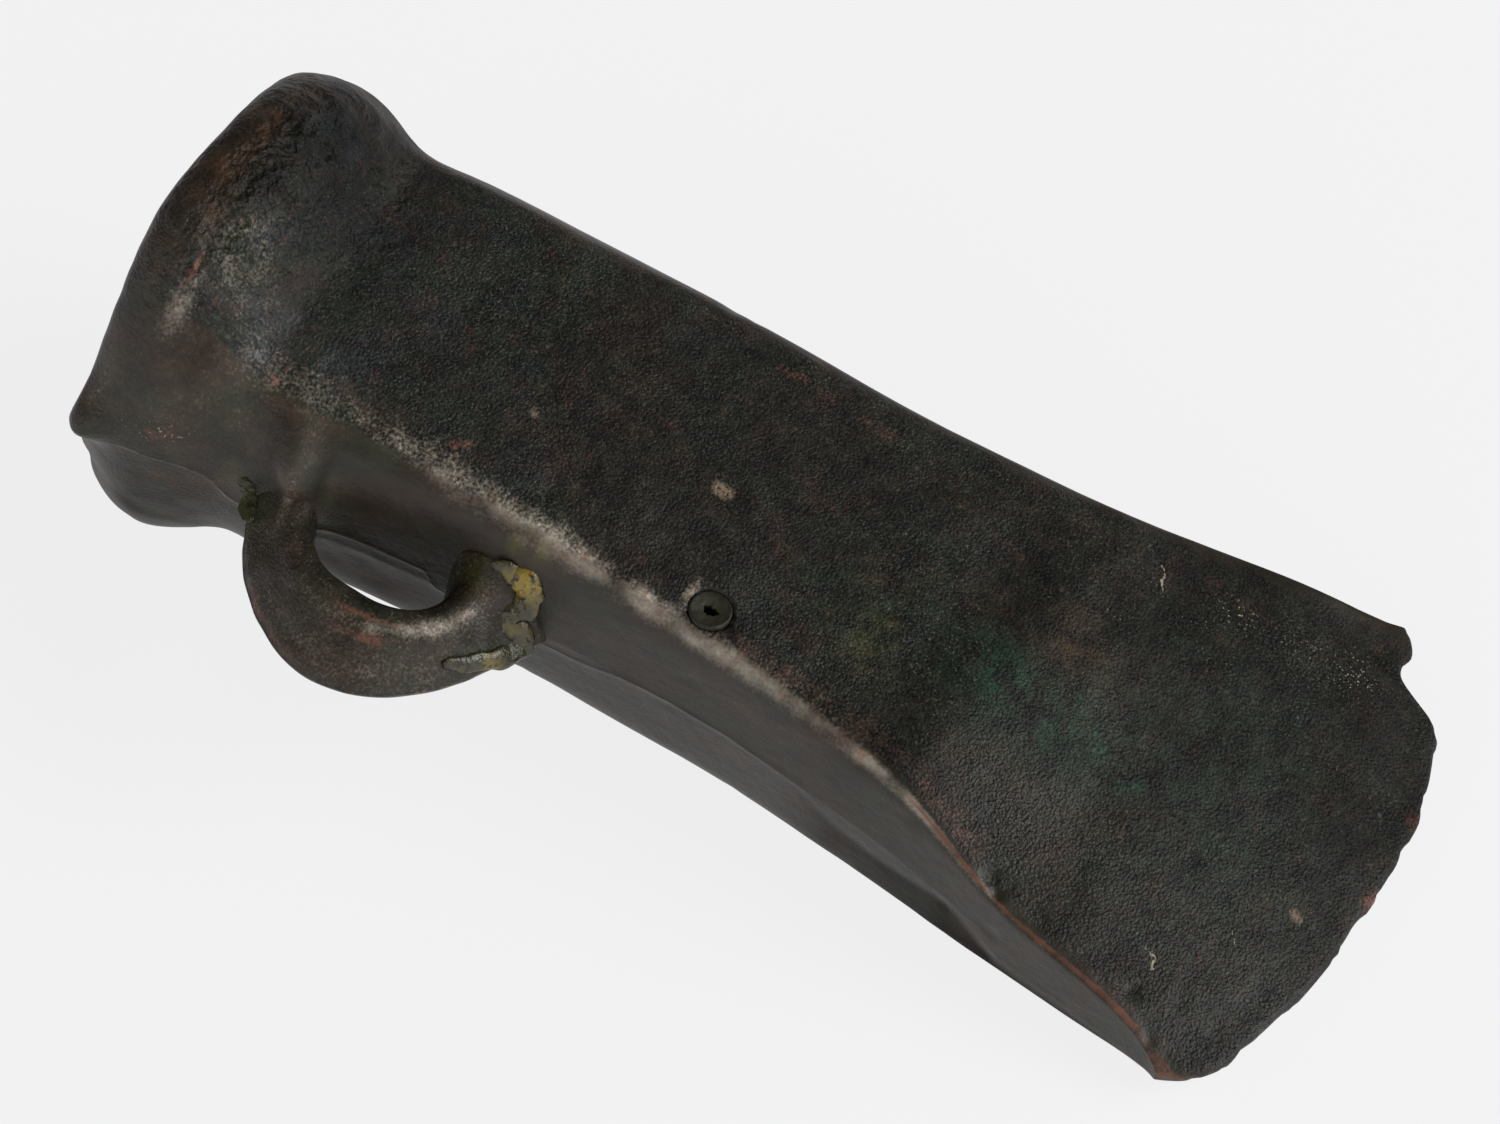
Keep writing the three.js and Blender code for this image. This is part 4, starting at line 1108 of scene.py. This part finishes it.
def toned_wax():
    """Wax toned with earth colours: dull and a little uneven, dirty towards its rim, and painted black
    down the pinhole as shade."""
    material, tree = empty_material("toned_wax")
    place = add(tree, "TexCoord", output="Object")
    cloud = add(tree, "TexNoise", {"Vector": place, "Scale": 1 / (0.8 * MM), "Detail": 3})
    dirt = add(tree, "TexNoise", {"Vector": place, "Scale": 1 / (0.9 * MM), "Detail": 4})
    at_rim = add(tree, "Attribute", output="Fac", attribute_name="at_rim")
    painted_pinhole_shade = add(tree, "Attribute", output="Fac", attribute_name="painted_pinhole_shade")
    dirty = add(tree, "Math", {0: dirt, 1: at_rim}, operation="ADD")
    dirty = add(tree, "MapRange", {0: dirty, 1: 0.62, 2: 1.1, 4: 0.85})
    colour = layered(tree, linear(WAX_DARK), [(WAX_PALE, cloud), (WAX_DIRT, dirty), (PINHOLE_SHADE_BLACK, painted_pinhole_shade)])
    bump = add(tree, "Bump", {"Height": cloud, "Distance": 0.2 * MM, "Strength": 0.7})
    shader = add(tree, "BsdfPrincipled", {
        "Base Color": colour, "Roughness": 0.5, "Specular IOR Level": 0.3, "Normal": bump,
    })
    add(tree, "OutputMaterial", {"Surface": shader})
    return material


plug_seat = skin_w.ravel()[nearest_on_face(HOLE_AT, HOLE_ACROSS)]
plug = plug_grid() + np.array([HOLE_AT, HOLE_ACROSS, plug_seat])
filler = closed_skin("toned_filling", plug[:, ::-1], {
    # The pinhole's inside is painted black as shade
    "painted_pinhole_shade": onset(plug_share, 0.84, 0.06),
    "at_rim": 0.36 * onset(-plug_share, -0.7, 0.3),
})
filler.data.materials.append(toned_wax())
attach(filler, "root")
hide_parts("sample_hole_filler")

# A pale paper sweep under the axe. The camera sees it partly by its own glow, so that it stays
# near white while it still takes the axe's shadow.
FLOOR_HALF = 3.0
FLOOR_COLOUR = "#f8f8f9"
FLOOR_GLOW_SHARE = 0.88
floor_mesh = bpy.data.meshes.new("paper_sweep")
corners = [(x * FLOOR_HALF, y * FLOOR_HALF, 0) for x, y in ((-1, -1), (1, -1), (1, 1), (-1, 1))]
floor_mesh.from_pydata(corners, [], [(0, 1, 2, 3)])
floor = bpy.data.objects.new("paper_sweep", floor_mesh)
bpy.context.scene.collection.objects.link(floor)
paper, paper_tree = empty_material("paper")
sheet = add(paper_tree, "BsdfDiffuse", {"Color": linear(FLOOR_COLOUR)})
glow = add(paper_tree, "Emission", {"Color": linear(FLOOR_COLOUR), "Strength": 1.0})
camera_ray = add(paper_tree, "LightPath", output="Is Camera Ray")
glossy_ray = add(paper_tree, "LightPath", output="Is Glossy Ray")
seen = add(paper_tree, "Math", {0: camera_ray, 1: glossy_ray}, operation="MAXIMUM")
glow_share = add(paper_tree, "Math", {0: seen, 1: FLOOR_GLOW_SHARE}, operation="MULTIPLY")
paper_mix = add(paper_tree, "MixShader", {0: glow_share, 1: sheet, 2: glow})
add(paper_tree, "OutputMaterial", {"Surface": paper_mix})
floor_mesh.materials.append(paper)

# The studio's room is pale at the horizon in front, and dim overhead and behind. Each pair is where
# it starts to dim and where it is dimmest, then how light it is at both.
ROOM_BACK = (-0.53, 0.85, 0.0)
ROOM_HEIGHTS, ROOM_HEIGHT_LIGHT = (0.42, 0.74), (0.95, 0.12)
ROOM_DEPTHS, ROOM_DEPTH_LIGHT = (0.0, 0.55), (1.0, 0.12)
world = bpy.data.worlds.new("studio")
world.use_nodes = True
room = world.node_tree
room.nodes.clear()
direction = add(room, "TexCoord", output="Generated")
upwards = add(room, "SeparateXYZ", {0: direction}, output="Z")
backwards = add(room, "VectorMath", {0: direction, 1: ROOM_BACK}, output="Value",
                operation="DOT_PRODUCT")
room_level = 1.0
for value, (start, end), (first, last) in (
    (upwards, ROOM_HEIGHTS, ROOM_HEIGHT_LIGHT), (backwards, ROOM_DEPTHS, ROOM_DEPTH_LIGHT),
):
    dimmed = add(room, "MapRange", {0: value, 1: start, 2: end, 3: first, 4: last},
                 interpolation_type="SMOOTHSTEP")
    room_level = add(room, "Math", {0: room_level, 1: dimmed}, operation="MULTIPLY")
room_light = add(room, "Background", {"Color": (1, 1, 1, 1), "Strength": room_level})
add(room, "OutputWorld", {"Surface": room_light})
bpy.context.scene.world = world

# One wide soft lamp in front of the axe, low enough to shine on its near side
LAMP_TOWARDS = (0.8, 0.3, 0.52)
LAMP_DISTANCE = 1.2
LAMP_SIZE = 0.8
LAMP_POWER = 9.0
lamp_data = bpy.data.lights.new("right_lamp", "AREA")
lamp_data.size = LAMP_SIZE
lamp_data.energy = LAMP_POWER
lamp = bpy.data.objects.new("right_lamp", lamp_data)
line = Vector(LAMP_TOWARDS).normalized()
aimed = line.to_track_quat("Z", "Y").to_matrix().to_4x4()
lamp.matrix_world = Matrix.Translation(line * LAMP_DISTANCE) @ aimed
bpy.context.scene.collection.objects.link(lamp)
bpy.context.scene.view_settings.view_transform = "Standard"
